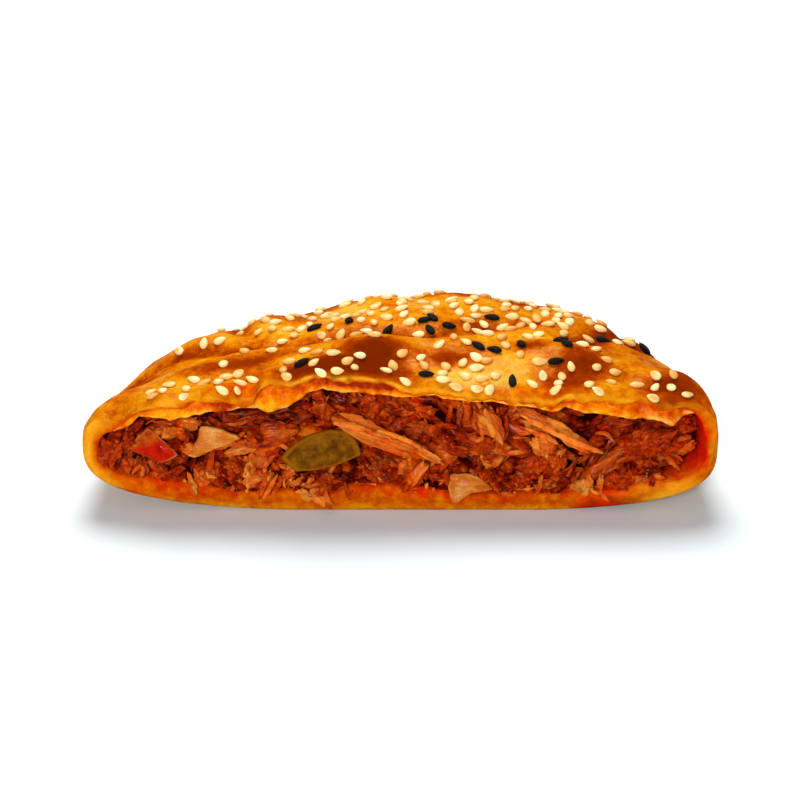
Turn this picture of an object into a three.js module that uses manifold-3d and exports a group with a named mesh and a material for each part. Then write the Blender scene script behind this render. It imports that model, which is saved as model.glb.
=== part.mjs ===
// Half of a baked tuna pie, cut open along its front: a soft golden pastry pocket strewn with sesame and
// nigella seeds, filled with flaked tuna in tomato sauce, a pickle slice, red pepper and onion.
// Millimetres, +Z up. The cut faces -Y, the pie lies on z = 0, and the origin is the bottom centre of its box.
//
// The pastry is a pocket swept from front to back. d is the distance behind the cut, and the angle a runs
// round each cross-section from the right end (0) over the top to the left end (PI) and back underneath.

import * as THREE from "three";
import { mergeVertices } from "three/addons/utils/BufferGeometryUtils.js";
import Module from "manifold-3d";

const wasm = await Module();
wasm.setup();

// Driving dimensions of the pocket
const HALF_WIDTH = 67.3; // half the length of the cut
const DEPTH = 68; // from the cut to the closed back
const CROWN = 35; // height of the dome
const CROWN_DEPTH = 40; // where the dome is reached
const RIM_FRONT = 14.5; // height of the widest line, at the cut and behind it
const RIM_BACK = 11;
const RIM_DEPTH = 25; // where the widest line has sunk
const BASE_SINK = 0.6; // how much of the rounded base is pressed flat
const LIP_REACH = 2.75; // how far the torn top sheet hangs out over the filling
const LIP_CURL = 1; // how far its edge turns down
const LIP_END = 55; // where it starts to run out into the side walls
const EDGE = { length: 2.2, inset: 1, bulge: 0.45 }; // rounding of the cut wall

// Superellipse powers: of each quarter of the cross-section, of the plan and of the profiles of top and base.
const SECTION = { topRight: [4.6, 2.5], topLeft: [3.1, 2], baseRight: 3.5, baseLeft: 2.9 };
const SECTION_DEPTH = 22; // the top's powers run from the first at the cut to the second here
const LEFT_LEAN = 0.18; // the share of its height that the left end loses behind the cut
const RIGHT_LEAN = 0.04;
const PLAN_POWER = 2.4;
const TOP_POWER = 2.6;
const BASE_POWER = 4;

// The flat foot that the pie lies on: its corners x, d, and how far it stands below the base round it
const FOOT = { outline: [[-30, 1.2], [38, 1.2], [26, 46], [-18, 46]], proud: 0.3, height: 1.5 };

// Pastry thickness
const SHEET_LIP = 1.6; // top sheet at its torn edge
const SHEET_BACK = 4.2; // top sheet well behind the cut
const SHEET_DEPTH = 16; // where it is that thick
const WALL_RIGHT = 3.3;
const WALL_LEFT = 4.3;
const WALL_BASE = 4.6;
const WALL_BACK = 4;
const FILLING_GAP = 0.6;
const PIECE_GAP = 0.4;

// Seeds
const SESAME = { length: 3.1, width: 2, thickness: 1.2 };
const NIGELLA = { length: 3.6, width: 1.95, thickness: 1.6 };
const SESAME_COUNT = 84;
const SEED_SINK = 0.25; // share of a seed's thickness that is pressed below the crust
const SEED_SPACING = 2.9;

// Small flakes bedded in the filling's face, and the part of the face that they cover
const FLAKE = { count: 34, spacing: 6, slimness: 0.36, thickness: 1.9, standOut: 0.6 };
const FLAKE_FIELD = { left: -56, right: 57, low: 7.5, high: 20.5 };

// Resolution
const AROUND = 60; // steps round a cross-section
const OUTSIDE_STEPS = 15; // steps from front to back
const INSIDE_STEPS = 10;
const FACE_RINGS = 5;

// Heights added to the lip along the cut: x, spread, height. The torn sheet is lifted left of the middle.
const LIP_HEIGHT = 26.5;
const LIP_WAVES = [
  { x: -12, spread: 11, height: 4.3 },
  { x: 11, spread: 12, height: 1.9 },
  { x: 52, spread: 8, height: -1.9 },
  { x: -50, spread: 9, height: 1.2 },
];

// Blisters, humps and hollows of the top: x, d, radius across, radius back, height.
const HUMPS = [
  { x: -6, d: 13, across: 12, back: 7, height: 1.3 },
  { x: 12, d: 13, across: 5, back: 4, height: 0.8 },
  { x: 39, d: 15, across: 11, back: 7, height: 1.4 },
  { x: 59, d: 10, across: 7, back: 7, height: 2 },
  { x: 28, d: 18, across: 5, back: 4, height: 0.6 },
  { x: -38, d: 17, across: 10, back: 5, height: 1.2 },
  { x: -59, d: 6, across: 6, back: 6, height: -0.2 },
  { x: -46, d: 33, across: 7, back: 6, height: 2.2 },
  { x: 18, d: 38, across: 18, back: 9, height: 0.7 },
  { x: 37, d: 36, across: 9, back: 9, height: 0.9 },
  { x: -21, d: 44, across: 11, back: 14, height: -2.6 },
  { x: 2, d: 46, across: 12, back: 10, height: -1.1 },
  { x: 16, d: 56, across: 11, back: 6, height: 1 },
  { x: 42, d: 50, across: 8, back: 6, height: 0.9 },
  { x: -29, d: 40, across: 7, back: 9, height: 2.8 },
  { x: -4, d: 46, across: 5, back: 7, height: 1.3 },
  { x: 17, d: 44, across: 5, back: 7, height: 1 },
];

// Creases between the folded masses of dough, each a smooth line through points x, d.
const CREASES = [
  {
    line: [[-62, 24], [-46, 27.5], [-34, 24.5], [-20, 22], [-4, 22.5], [8, 21], [18, 25], [30, 31]],
    width: 2.4,
    depth: 1.5,
  },
  { line: [[62, 34], [52, 31], [45, 29.5], [40, 25], [36, 23]], width: 2.2, depth: 1.4 },
  { line: [[-31, 29], [-36, 38], [-36, 48], [-30, 58]], width: 2.8, depth: 2 },
  { line: [[47, 30], [49, 40], [44, 52]], width: 2.2, depth: 1.4 },
];

// Nigella seeds where the pie has them, as x, d, turn in degrees.
const NIGELLA_SPOTS = [
  [-11, 28, 80], [-18.5, 28.5, 10], [-20.5, 7, 15], [-2.5, 24, 50], [5.5, 26.5, 20], [7, 27.5, 130],
  [6.5, 23, 110], [10.5, 24, 10], [5.5, 2, 0], [20, 30, 170], [16.5, 14, 140], [20, 13, 155], [26, 17, 115],
  [34.5, 18.5, 20], [35.5, 15.5, 130], [33, 10, 15], [23.5, 3, 90], [44.5, 29, 10], [54, 34.5, 150],
  [-30, 59, 60], [3, 64, 20], [26, 61, 100], [-12, 65, 150], [43, 55, 40], [-48, 50, 20],
];

// Thick spots of sesame: x, d, spread, share of the seeds.
const SESAME_CLUSTERS = [
  [-35, 4.5, 4, 7], [-46, 3.5, 5, 5], [-26, 34, 7, 9], [-12, 26, 6, 8], [-2, 31, 6, 6], [-20, 8, 5, 5],
  [15, 3.5, 5, 11], [8, 6, 6, 5], [38, 15, 4, 8], [33, 27, 6, 8], [22, 27, 6, 6], [45, 5, 6, 5], [33, 5, 6, 4],
  [-6, 7, 8, 4], [57, 4, 5, 3], [12, 37, 8, 6], [-10, 54, 14, 7], [24, 52, 12, 6], [-38, 46, 8, 4],
  [40, 45, 7, 4],
];

// Outlines of the flat vegetable pieces round their middles: corners x, z, clockwise from the left. The pickle
// slice starts at its left corner, and each curve holds two control points and the next corner.
const PICKLE_OUTLINE = {
  left: [-8.8, 0.9],
  curves: [
    [-3.6, 5.4, 5, 5, 6.8, 2.3],
    [7.8, 1, 8.2, -1, 7.9, -2.8],
    [3.6, -3.9, -2, -3.9, -6.5, -2.7],
    [-7.2, -1.6, -8, -0.4, -8.8, 0.9],
  ],
};
const PEPPER_OUTLINE = [[-5.4, -0.2], [-0.8, 3.9], [2.6, 1.1], [5.5, -1.8], [2, -3.6], [-2, -1.8]];
const ONION_LEFT_OUTLINE = [
  [-5.6, -2.4], [-3.2, 0.3], [-2.3, 3.4], [2.3, 2.5], [6, 0.8], [-0.8, -2.2], [-3.8, -3.5],
];
const ONION_LOW_OUTLINE = [
  [-5, 2.7], [-1.1, 3.2], [1.6, 2.5], [4.8, -0.1], [0, -1.2], [-3.4, -3.4], [-4.2, -1.9],
];

// The separate pieces that show in the cut. x, z and d place the middle, slope turns a piece in the plane of
// the cut and lean tips its top back, in degrees.
const PIECES = [
  {
    name: "pickle_slice", make: pickleSolid, x: -16.5, z: 13.4, d: 0.7, slope: 15, lean: 12,
    thickness: 2.4,
  },
  {
    name: "red_pepper_piece", make: plateSolid, x: -52.3, z: 14.2, d: 1.6, slope: 0, lean: 12,
    outline: PEPPER_OUTLINE, thickness: 1.6,
  },
  {
    name: "onion_piece_left", make: plateSolid, x: -39.6, z: 15.4, d: 1.3, slope: 0, lean: 14,
    outline: ONION_LEFT_OUTLINE, thickness: 1.2,
  },
  {
    name: "onion_piece_low", make: plateSolid, x: 14.8, z: 5.2, d: -0.2, slope: 0, lean: 30,
    outline: ONION_LOW_OUTLINE, thickness: 1.1,
  },
  {
    name: "tuna_flake_left", make: flakeSolid, x: -27, z: 17, d: 1.6, slope: 12, lean: 10,
    length: 11, width: 5.4, thickness: 1.6, bend: 0.9, twist: 0.5,
  },
  {
    name: "tuna_flake_mid", make: flakeSolid, x: -3, z: 16.6, d: 0.4, slope: -22, lean: 12,
    length: 25, width: 4.6, thickness: 2, bend: -1.4, twist: 0.5,
  },
  {
    name: "tuna_flake_upright", make: flakeSolid, x: 19.2, z: 19.4, d: 1.4, slope: -58, lean: 0,
    length: 8.6, width: 4.6, thickness: 1.8, bend: -0.6, twist: 0.4,
  },
  {
    name: "tuna_flake_right", make: flakeSolid, x: 33.6, z: 18.6, d: -0.1, slope: -31, lean: 10,
    length: 18.6, width: 3, thickness: 1.8, bend: 0.8, twist: -0.4,
  },
  {
    name: "tuna_flake_far_right", make: flakeSolid, x: 43, z: 10, d: 1.2, slope: 46, lean: 6,
    length: 11, width: 3, thickness: 2, bend: -0.9, twist: 0.6,
  },
  {
    name: "tuna_chunk_left", make: flakeSolid, x: -35.4, z: 8.4, d: 2, slope: 30, lean: 0,
    length: 5.6, width: 5, thickness: 3.8,
  },
  {
    name: "tuna_chunk_low", make: flakeSolid, x: -3.7, z: 8.6, d: 2, slope: 8, lean: 0,
    length: 8, width: 5.2, thickness: 4,
  },
  {
    name: "tuna_chunk_mid", make: flakeSolid, x: 29, z: 8.6, d: 2.2, slope: 12, lean: 0,
    length: 7.6, width: 5.6, thickness: 4.2,
  },
  {
    name: "tuna_chunk_right", make: flakeSolid, x: 51.4, z: 9.4, d: 3.4, slope: -28, lean: 0,
    length: 7, width: 4.8, thickness: 3.6,
  },
];

// Colour and roughness of each material; a piece takes the one that its name starts with.
const MATERIALS = {
  crust: [0xe0982c, 0.45],
  filling: [0x9a3a10, 0.4],
  tuna: [0xc4702a, 0.5],
  pickle: [0x74561a, 0.35],
  red_pepper: [0xbe2408, 0.25],
  onion: [0xcc7c34, 0.35],
};

const clamp = (x, low, high) => Math.min(high, Math.max(low, x));
const mix = (from, to, share) => from + (to - from) * share;
const bell = (x, centre, spread) => Math.exp(-(((x - centre) / spread) ** 2));
const radians = (degrees) => (degrees * Math.PI) / 180;

function smooth(from, to, x) {
  const t = clamp((x - from) / (to - from), 0, 1);
  return t * t * (3 - 2 * t);
}

// A seeded random draw, the same on every run.
function randomFrom(seed) {
  let state = seed >>> 0;
  return () => {
    state = (Math.imul(state, 1664525) + 1013904223) >>> 0;
    return state / 2 ** 32;
  };
}

// Height of a unit superellipse at distance q from its middle, and its radius in direction a.
const arch = (q, power) => (1 - clamp(q, 0, 1) ** power) ** (1 / power);
const superRadius = (a, power) =>
  (Math.abs(Math.cos(a)) ** power + Math.abs(Math.sin(a)) ** power) ** (-1 / power);

// Height of the undisturbed top: it climbs from the lip's height at x to the dome.
function crown(x, d) {
  const lip = LIP_WAVES.reduce((sum, wave) => sum + wave.height * bell(x, wave.x, wave.spread), LIP_HEIGHT);
  const rise = 1 - (1 - clamp(d / CROWN_DEPTH, -0.2, 1)) ** 2.2;
  return mix(lip, CROWN, rise);
}

const creaseCurves = CREASES.map(({ line, width, depth }) => ({
  curve: new THREE.SplineCurve(line.map(([x, d]) => new THREE.Vector2(x, d))).getPoints(60),
  width,
  depth,
}));

function creaseDepth(x, d) {
  const here = new THREE.Vector2(x, d);
  const depths = creaseCurves.map(({ curve, width, depth }) => {
    const distance = Math.min(...curve.map((point) => point.distanceTo(here)));
    return depth * bell(distance, 0, width);
  });
  return Math.max(...depths);
}

// Rise and fall of the top over the plain dome: humps, creases and gentle waves.
function relief(x, d) {
  const humps = HUMPS.reduce((sum, h) => sum + h.height * bell(x, h.x, h.across) * bell(d, h.d, h.back), 0);
  const waves = 0.25 * Math.sin(0.31 * x + 0.2 * d) + 0.2 * Math.sin(0.17 * x - 0.37 * d + 1);
  return humps - creaseDepth(x, d) + waves;
}

// How far the top sheet reaches in front of the cut at x: an uneven, torn edge that ends at the side walls.
function lipReach(x) {
  const uneven = 0.76 + 0.12 * Math.sin(0.45 * x + 0.6) + 0.08 * Math.sin(0.83 * x);
  return LIP_REACH * uneven * smooth(LIP_END + 10, LIP_END, Math.abs(x));
}

// 1 on the top sheet and 0 on the side walls and the base.
const onTopAt = (a) => smooth(0.05, 0.45, Math.sin(a));

// Where the wall starts at angle a: at the cut, or at the lip on top. inset is 0 outside and 1 inside.
const startDepth = (a) => -lipReach(HALF_WIDTH * superRadius(a, 4) * Math.cos(a)) * onTopAt(a);
const backDepth = (inset, gap) => DEPTH - inset * WALL_BACK - gap;

// One point of the pocket's wall, d behind the cut. gap stands off the inside.
function wallPoint(a, d, inset, gap = 0) {
  const c = Math.cos(a);
  const s = Math.sin(a);
  const onTop = onTopAt(a);
  const along = clamp(d / backDepth(inset, gap), 0, 1);
  const behind = smooth(0, SECTION_DEPTH, d);
  const round = clamp(1 - d / EDGE.length, 0, 1);
  const rounding = EDGE.inset * (1 - Math.sqrt(1 - round ** 2)) * (1 - onTop) * (inset ? -0.6 : 1);

  const topPower = mix(...(c > 0 ? SECTION.topRight : SECTION.topLeft), behind);
  const basePower = c > 0 ? SECTION.baseRight : SECTION.baseLeft;
  const r = superRadius(a, s > 0 ? topPower : basePower);
  const side = c > 0 ? WALL_RIGHT : WALL_LEFT;
  const x = (HALF_WIDTH - side * inset - gap - rounding) * arch(along, PLAN_POWER) * r * c;
  const rim = mix(RIM_FRONT, RIM_BACK, smooth(0, RIM_DEPTH, d));
  if (s <= 0) {
    const deep = (rim + BASE_SINK - WALL_BASE * inset - gap - 0.3 * rounding) * arch(along, BASE_POWER);
    return [x, d, Math.max(rim + deep * r * s, FOOT.proud)];
  }
  const sheet = mix(side, mix(SHEET_LIP, SHEET_BACK, smooth(-LIP_REACH, SHEET_DEPTH, d)), onTop);
  const lean = 1 - behind * Math.abs(r * c) * (c < 0 ? LEFT_LEAN : RIGHT_LEAN);
  const high = (crown(x, d) - rim) * arch(along, TOP_POWER) * lean - sheet * inset - gap - rounding;
  const curl = LIP_CURL * (Math.min(d, 0) / LIP_REACH) ** 2 * onTop;
  const shown = (1 - inset) * smooth(0, 0.5, s) * smooth(1, 0.85, along) * smooth(-3, 3, d);
  return [x, d, rim + high * r * s - curl + shown * relief(x, d)];
}

const angles = Array.from({ length: AROUND }, (_, j) => 2 * Math.PI * (1 - (j + 0.5) / AROUND));
const frontToBack = (steps) => Array.from({ length: steps }, (_, i) => (i / steps) ** 1.25);

// A closed ring of wall points, a share v of the way round the arc from the front edge to the back.
function ring(v, inset, gap = 0) {
  return angles.map((a) => {
    const d = mix(startDepth(a), backDepth(inset, gap), Math.sin((v * Math.PI) / 2));
    return wallPoint(a, d, inset, gap);
  });
}

// Joins closed rings of points into one surface. It ends in the point end, and starts in the point start or,
// without one, in a strip across the first ring, whose first half mirrors its second.
function surfaceOfRings(start, rings, end) {
  const count = rings[0].length;
  const points = [...rings.flat(), end, start ?? end];
  const last = rings.length - 1;
  const tip = rings.length * count;
  const at = (i, j) => i * count + (j % count);
  const index = [];
  for (let j = 0; j < count; j++) {
    index.push(tip, at(last, j), at(last, j + 1));
    if (start) index.push(tip + 1, at(0, j + 1), at(0, j));
    for (let i = 0; i < last; i++) {
      index.push(at(i, j), at(i, j + 1), at(i + 1, j + 1));
      index.push(at(i, j), at(i + 1, j + 1), at(i + 1, j));
    }
  }
  for (let j = 0; !start && j < count / 2 - 1; j++) {
    index.push(at(0, j + 1), at(0, j), at(0, count - 1 - j));
    index.push(at(0, j + 1), at(0, count - 1 - j), at(0, count - 2 - j));
  }
  const geometry = new THREE.BufferGeometry();
  geometry.setAttribute("position", new THREE.Float32BufferAttribute(points.flat(), 3));
  geometry.setIndex(index);
  return geometry;
}

// The pocket: from the inside of the back, out over the cut edge, and round to the outside of the back.
function pocketGeometry() {
  const inside = frontToBack(INSIDE_STEPS).map((v) => ring(v, 1)).reverse();
  const outside = frontToBack(OUTSIDE_STEPS).map((v) => ring(v, 0));
  const edge = outside[0].map(([x, d, z], j) => {
    const inner = inside[INSIDE_STEPS - 1][j];
    return [mix(x, inner[0], 0.5), d - EDGE.bulge, mix(z, inner[2], 0.5)];
  });
  const backs = [1, 0].map((inset) => wallPoint(0, backDepth(inset, 0), inset));
  return surfaceOfRings(backs[0], [...inside, edge, ...outside], backs[1]);
}

// How far behind the cut the filling's face stands at x, z: it slopes down on to the bottom's edge and sinks
// under the lip and at the ends.
function recess(x, z) {
  const low = -2.5 * (1 - smooth(4, 10, z));
  const high = 2 * smooth(17, 25, z);
  const ends = 4.5 * smooth(52, 61, x) + 2.5 * smooth(-54, -62, x);
  const lumps = 0.8 * Math.sin(0.55 * x + 0.4 * z) + 0.7 * Math.sin(0.9 * z - 0.35 * x + 2);
  const rough = mix(0.35, 1, smooth(4, 9, z));
  return 3.4 + low + high + ends + rough * (lumps + 0.5 * Math.sin(1.3 * x));
}

const FACE_DEPTH = 13; // the face lies in front of this
const SPINE = { height: 13, length: 0.9 }; // the line along the face's middle, as a share of its length

// The filling's core: it lines the pocket and ends in the lumpy face behind the cut.
function fillingGeometry() {
  const border = angles.map((a) => {
    const [x, , z] = wallPoint(a, recess(0, 0), 1, FILLING_GAP);
    return wallPoint(a, recess(x, z), 1, FILLING_GAP);
  });
  const face = Array.from({ length: FACE_RINGS - 1 }, (_, k) => {
    const share = (k + 0.5) / (FACE_RINGS - 0.5);
    return border.map((p) => {
      const x = p[0] * mix(SPINE.length, 1, share);
      const z = mix(SPINE.height, p[2], share);
      return [x, recess(x, z), z];
    });
  });
  const behind = frontToBack(INSIDE_STEPS)
    .map((v) => ring(v, 1, FILLING_GAP))
    .filter((points) => points[0][1] > FACE_DEPTH);
  const back = wallPoint(0, backDepth(1, FILLING_GAP), 1, FILLING_GAP);
  return surfaceOfRings(null, [...face, border, ...behind], back);
}

function toSolid(geometry) {
  const bare = new THREE.BufferGeometry();
  bare.setAttribute("position", geometry.getAttribute("position"));
  if (geometry.index) bare.setIndex(geometry.index);
  const merged = mergeVertices(bare, 1e-4);
  return new wasm.Manifold(
    new wasm.Mesh({
      numProp: 3,
      vertProperties: new Float32Array(merged.attributes.position.array),
      triVerts: new Uint32Array(merged.index.array),
    }),
  );
}

function toGeometry(solid) {
  const { vertProperties, triVerts } = solid.getMesh();
  const geometry = new THREE.BufferGeometry();
  geometry.setAttribute("position", new THREE.BufferAttribute(vertProperties, 3));
  geometry.setIndex(new THREE.BufferAttribute(triVerts, 1));
  geometry.computeVertexNormals();
  return geometry;
}

// A drop-shaped seed, pointed at both ends, lying along X.
function seedSolid({ length, width, thickness }) {
  const sides = 6;
  const stations = [
    { at: -0.24, half: 0.86 },
    { at: 0.18, half: 0.92 },
  ];
  const rings = stations.map(({ at, half }) =>
    Array.from({ length: sides }, (_, k) => {
      const turn = (2 * Math.PI * (k + 0.5)) / sides;
      return [at * length, (half * width * Math.cos(turn)) / 2, (half * thickness * Math.sin(turn)) / 2];
    }),
  );
  return toSolid(surfaceOfRings([-length / 2, 0, 0], rings, [length / 2, 0, 0]));
}

// A seed laid flat on the facet of the crust over x, d.
function placeSeed(crust, solid, seed, [x, d, turn, scale = 1]) {
  const down = new THREE.Raycaster(new THREE.Vector3(x, d, 2 * CROWN), new THREE.Vector3(0, 0, -1));
  const { point, face } = down.intersectObject(crust)[0];
  const flat = new THREE.Vector3(Math.cos(radians(turn)), Math.sin(radians(turn)), 0);
  const along = flat.addScaledVector(face.normal, -flat.dot(face.normal)).normalize();
  const beside = new THREE.Vector3().crossVectors(face.normal, along);
  const centre = point.addScaledVector(face.normal, seed.thickness * (0.5 - SEED_SINK));
  const matrix = new THREE.Matrix4().makeBasis(along, beside, face.normal);
  matrix.scale(new THREE.Vector3(scale, scale, scale)).setPosition(centre);
  return solid.transform(matrix.toArray());
}

// Draws sesame seeds cluster by cluster, clear of one another and of the taken spots.
function sesameSpots(taken) {
  const random = randomFrom(7);
  const total = SESAME_CLUSTERS.reduce((sum, cluster) => sum + cluster[3], 0);
  const spots = [];
  while (spots.length < SESAME_COUNT) {
    let pick = random() * total;
    const [middleX, middleD, spread] = SESAME_CLUSTERS.find((cluster) => (pick -= cluster[3]) < 0);
    const angle = random() * 2 * Math.PI;
    const far = spread * Math.sqrt(-Math.log(1 - 0.92 * random()));
    const x = middleX + far * Math.cos(angle);
    const d = middleD + 0.8 * far * Math.sin(angle);
    const turn = random() * 180;
    const scale = 0.88 + 0.2 * random();
    const onTop = (x / (HALF_WIDTH - 5)) ** 2 + (Math.max(d - 8, 0) / (DEPTH - 16)) ** 2 < 1 && d > 1.5;
    const clear = [...spots, ...taken].every((spot) => Math.hypot(spot[0] - x, spot[1] - d) > SEED_SPACING);
    if (onTop && clear) spots.push([x, d, turn, scale]);
  }
  return spots;
}

function footSolid() {
  const shape = new THREE.Shape(FOOT.outline.map(([x, d]) => new THREE.Vector2(x, d)));
  return toSolid(new THREE.ExtrudeGeometry(shape, { depth: FOOT.height, bevelEnabled: false }));
}

function crustSolid() {
  const pocket = pocketGeometry();
  const crust = new THREE.Mesh(pocket);
  const sesame = seedSolid(SESAME);
  const nigella = seedSolid(NIGELLA);
  return wasm.Manifold.union([
    toSolid(pocket),
    footSolid(),
    ...NIGELLA_SPOTS.map((spot) => placeSeed(crust, nigella, NIGELLA, spot)),
    ...sesameSpots(NIGELLA_SPOTS).map((spot) => placeSeed(crust, sesame, SESAME, spot)),
  ]);
}

// The pieces are made lying along X with their thickness along Y. grow makes one larger all round, to cut
// its bed in the filling.

// A flake: a bent and twisted lozenge.
function flakeSolid({ length, width, thickness, bend = 0, twist = 0, stations = 8, sides = 10, grow = 0 }) {
  const place = (share, radius, turn) => {
    const lean = twist * (share - 0.5);
    const u = radius * (width / 2 + grow) * Math.sin(turn);
    const w = Math.min(1, radius * 1.3) * (thickness / 2 + grow) * Math.cos(turn);
    const x = (share - 0.5) * (length + 2 * grow);
    const bow = bend * 4 * (share - 0.5) ** 2;
    return [x, bow + w * Math.cos(lean) - u * Math.sin(lean), u * Math.cos(lean) + w * Math.sin(lean)];
  };
  const rings = Array.from({ length: stations - 1 }, (_, i) => {
    const share = (1 - Math.cos((Math.PI * (i + 1)) / stations)) / 2;
    const radius = Math.sqrt(Math.sin(Math.PI * share));
    return Array.from({ length: sides }, (_, k) => place(share, radius, (2 * Math.PI * k) / sides));
  });
  return toSolid(surfaceOfRings(place(0, 0, 0), rings, place(1, 0, 0)));
}

// A flat piece of any outline with bevelled edges.
function sheetSolid(shape, thickness, grow) {
  const bevel = 0.4;
  const depth = thickness + 2 * grow - 2 * bevel;
  const geometry = new THREE.ExtrudeGeometry(shape, {
    depth,
    bevelThickness: bevel,
    bevelSize: bevel + grow,
    bevelOffset: -bevel,
    bevelSegments: 1,
    curveSegments: 5,
  });
  return toSolid(geometry.translate(0, 0, -depth / 2).rotateX(Math.PI / 2));
}

function plateSolid({ outline, thickness, grow = 0 }) {
  const corners = outline.map(([x, z]) => new THREE.Vector2(x, z));
  return sheetSolid(new THREE.Shape(corners), thickness, grow);
}

// A half slice of pickle: a skewed arc over a slightly bowed cut.
function pickleSolid({ thickness, grow = 0 }) {
  const shape = new THREE.Shape();
  shape.moveTo(...PICKLE_OUTLINE.left);
  for (const curve of PICKLE_OUTLINE.curves) shape.bezierCurveTo(...curve);
  return sheetSolid(shape, thickness, grow);
}

function placePiece(piece, grow = 0) {
  const turn = new THREE.Euler(-radians(piece.lean), -radians(piece.slope), 0, "XZY");
  const matrix = new THREE.Matrix4().makeRotationFromEuler(turn).setPosition(piece.x, piece.d, piece.z);
  return piece.make({ ...piece, grow }).transform(matrix.toArray());
}

// Draws the small flakes, clear of one another, each standing out of the face a little.
function scatteredFlakes() {
  const random = randomFrom(11);
  const flakes = [];
  while (flakes.length < FLAKE.count) {
    const x = mix(FLAKE_FIELD.left, FLAKE_FIELD.right, random());
    const z = mix(FLAKE_FIELD.low, FLAKE_FIELD.high, random());
    const slope = mix(-75, 60, random());
    const lean = mix(-15, 25, random());
    const length = mix(5, 9.5, random());
    const bend = mix(-0.8, 0.8, random());
    const room = z < 22 - 0.006 * x ** 2 && z > 6.2 + 0.0012 * x ** 2;
    const clear = flakes.every((flake) => Math.hypot(flake.x - x, 1.6 * (flake.z - z)) > FLAKE.spacing);
    if (!room || !clear) continue;
    const size = { length, bend, width: length * FLAKE.slimness, thickness: FLAKE.thickness };
    flakes.push({ x, z, d: recess(x, z) - FLAKE.standOut, slope, lean, ...size, stations: 4, sides: 6 });
  }
  return flakes.map((flake) => placePiece({ ...flake, make: flakeSolid }));
}

// The heap, with a bed cut for each separate piece. Scraps that the beds cut off are dropped.
function fillingSolid() {
  const heap = wasm.Manifold.union([toSolid(fillingGeometry()), ...scatteredFlakes()]);
  const beds = wasm.Manifold.union(PIECES.map((piece) => placePiece(piece, PIECE_GAP)));
  const bodies = heap.subtract(beds).decompose();
  return bodies.sort((p, q) => q.volume() - p.volume())[0];
}

const materials = Object.fromEntries(
  Object.entries(MATERIALS).map(([name, [color, roughness]]) => [
    name,
    new THREE.MeshStandardMaterial({ name, color, roughness, metalness: 0 }),
  ]),
);

function pieMesh(name, solid) {
  const slot = Object.keys(MATERIALS).find((material) => name.startsWith(material));
  const mesh = new THREE.Mesh(toGeometry(solid), materials[slot]);
  mesh.name = name;
  return mesh;
}

const pie = new THREE.Group();
pie.name = "tuna_pie";
pie.add(pieMesh("crust", crustSolid()));
pie.add(pieMesh("filling", fillingSolid()));
for (const piece of PIECES) pie.add(pieMesh(piece.name, placePiece(piece)));

// The origin goes to the bottom centre of the whole box.
const middle = new THREE.Box3().setFromObject(pie).getCenter(new THREE.Vector3());
pie.position.set(-middle.x, -middle.y, 0);

export default pie;
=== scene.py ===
"""Half of a baked tuna pie, cut open along its front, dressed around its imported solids.

Sizes are in millimetres until a mesh is made. x runs along the cut, d is the distance behind the cut and z is
the height. The angle a runs round each cross-section of the pastry from the right end over the top.
"""

import math

import bpy
import numpy as np
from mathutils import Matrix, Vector
from mathutils.bvhtree import BVHTree


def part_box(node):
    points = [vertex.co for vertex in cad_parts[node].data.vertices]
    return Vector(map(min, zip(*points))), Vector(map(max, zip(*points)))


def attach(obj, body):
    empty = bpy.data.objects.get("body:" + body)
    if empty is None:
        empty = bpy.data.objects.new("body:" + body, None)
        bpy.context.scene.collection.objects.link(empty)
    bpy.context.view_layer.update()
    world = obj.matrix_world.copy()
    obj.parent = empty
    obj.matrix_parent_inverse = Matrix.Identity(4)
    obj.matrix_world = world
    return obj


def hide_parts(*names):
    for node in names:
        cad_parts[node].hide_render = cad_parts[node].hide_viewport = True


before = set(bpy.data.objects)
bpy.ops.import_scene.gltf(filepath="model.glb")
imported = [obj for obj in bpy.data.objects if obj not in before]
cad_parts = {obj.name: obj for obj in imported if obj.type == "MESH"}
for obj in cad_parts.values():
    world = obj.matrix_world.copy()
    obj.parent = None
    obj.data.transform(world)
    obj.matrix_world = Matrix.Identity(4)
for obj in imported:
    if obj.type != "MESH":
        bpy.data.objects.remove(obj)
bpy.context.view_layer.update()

# The pocket's driving dimensions, as in the solids. Powers set how square a curve is
HALF_WIDTH = 67.1
DEPTH = 68.0
CROWN = 33.85
CROWN_DEPTH = 40.0
RIM_FRONT = 14.5
RIM_BACK = 11.0
RIM_DEPTH = 25.0
BASE_SINK = 0.6
LIP_REACH = 2.6
LIP_CURL = 1.0
LIP_END = 55.0
EDGE_LENGTH = 2.2
EDGE_INSET = 1.0
EDGE_BULGE = 0.8
SECTION_TOP_RIGHT = (4.6, 2.5)
SECTION_TOP_LEFT = (3.1, 2.0)
SECTION_BASE = (3.5, 2.9)
SECTION_DEPTH = 22.0
LEFT_LEAN = 0.18
RIGHT_LEAN = 0.04
PLAN_POWER = 2.4
TOP_POWER = 2.6
BASE_POWER = 4.0
SHEET_LIP = 1.1
SHEET_BACK = 4.2
SHEET_DEPTH = 16.0
WALL_RIGHT = 3.3
WALL_LEFT = 4.3
WALL_BASE = 4.6
WALL_BACK = 4.0
FILLING_GAP = 0.3

# Heights added to the lip along the cut: x, spread, height
LIP_HEIGHT = 26.5
LIP_WAVES = ((-12, 11, 4.3), (11, 12, 1.9), (52, 8, -1.9), (-50, 9, 1.2))

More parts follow.
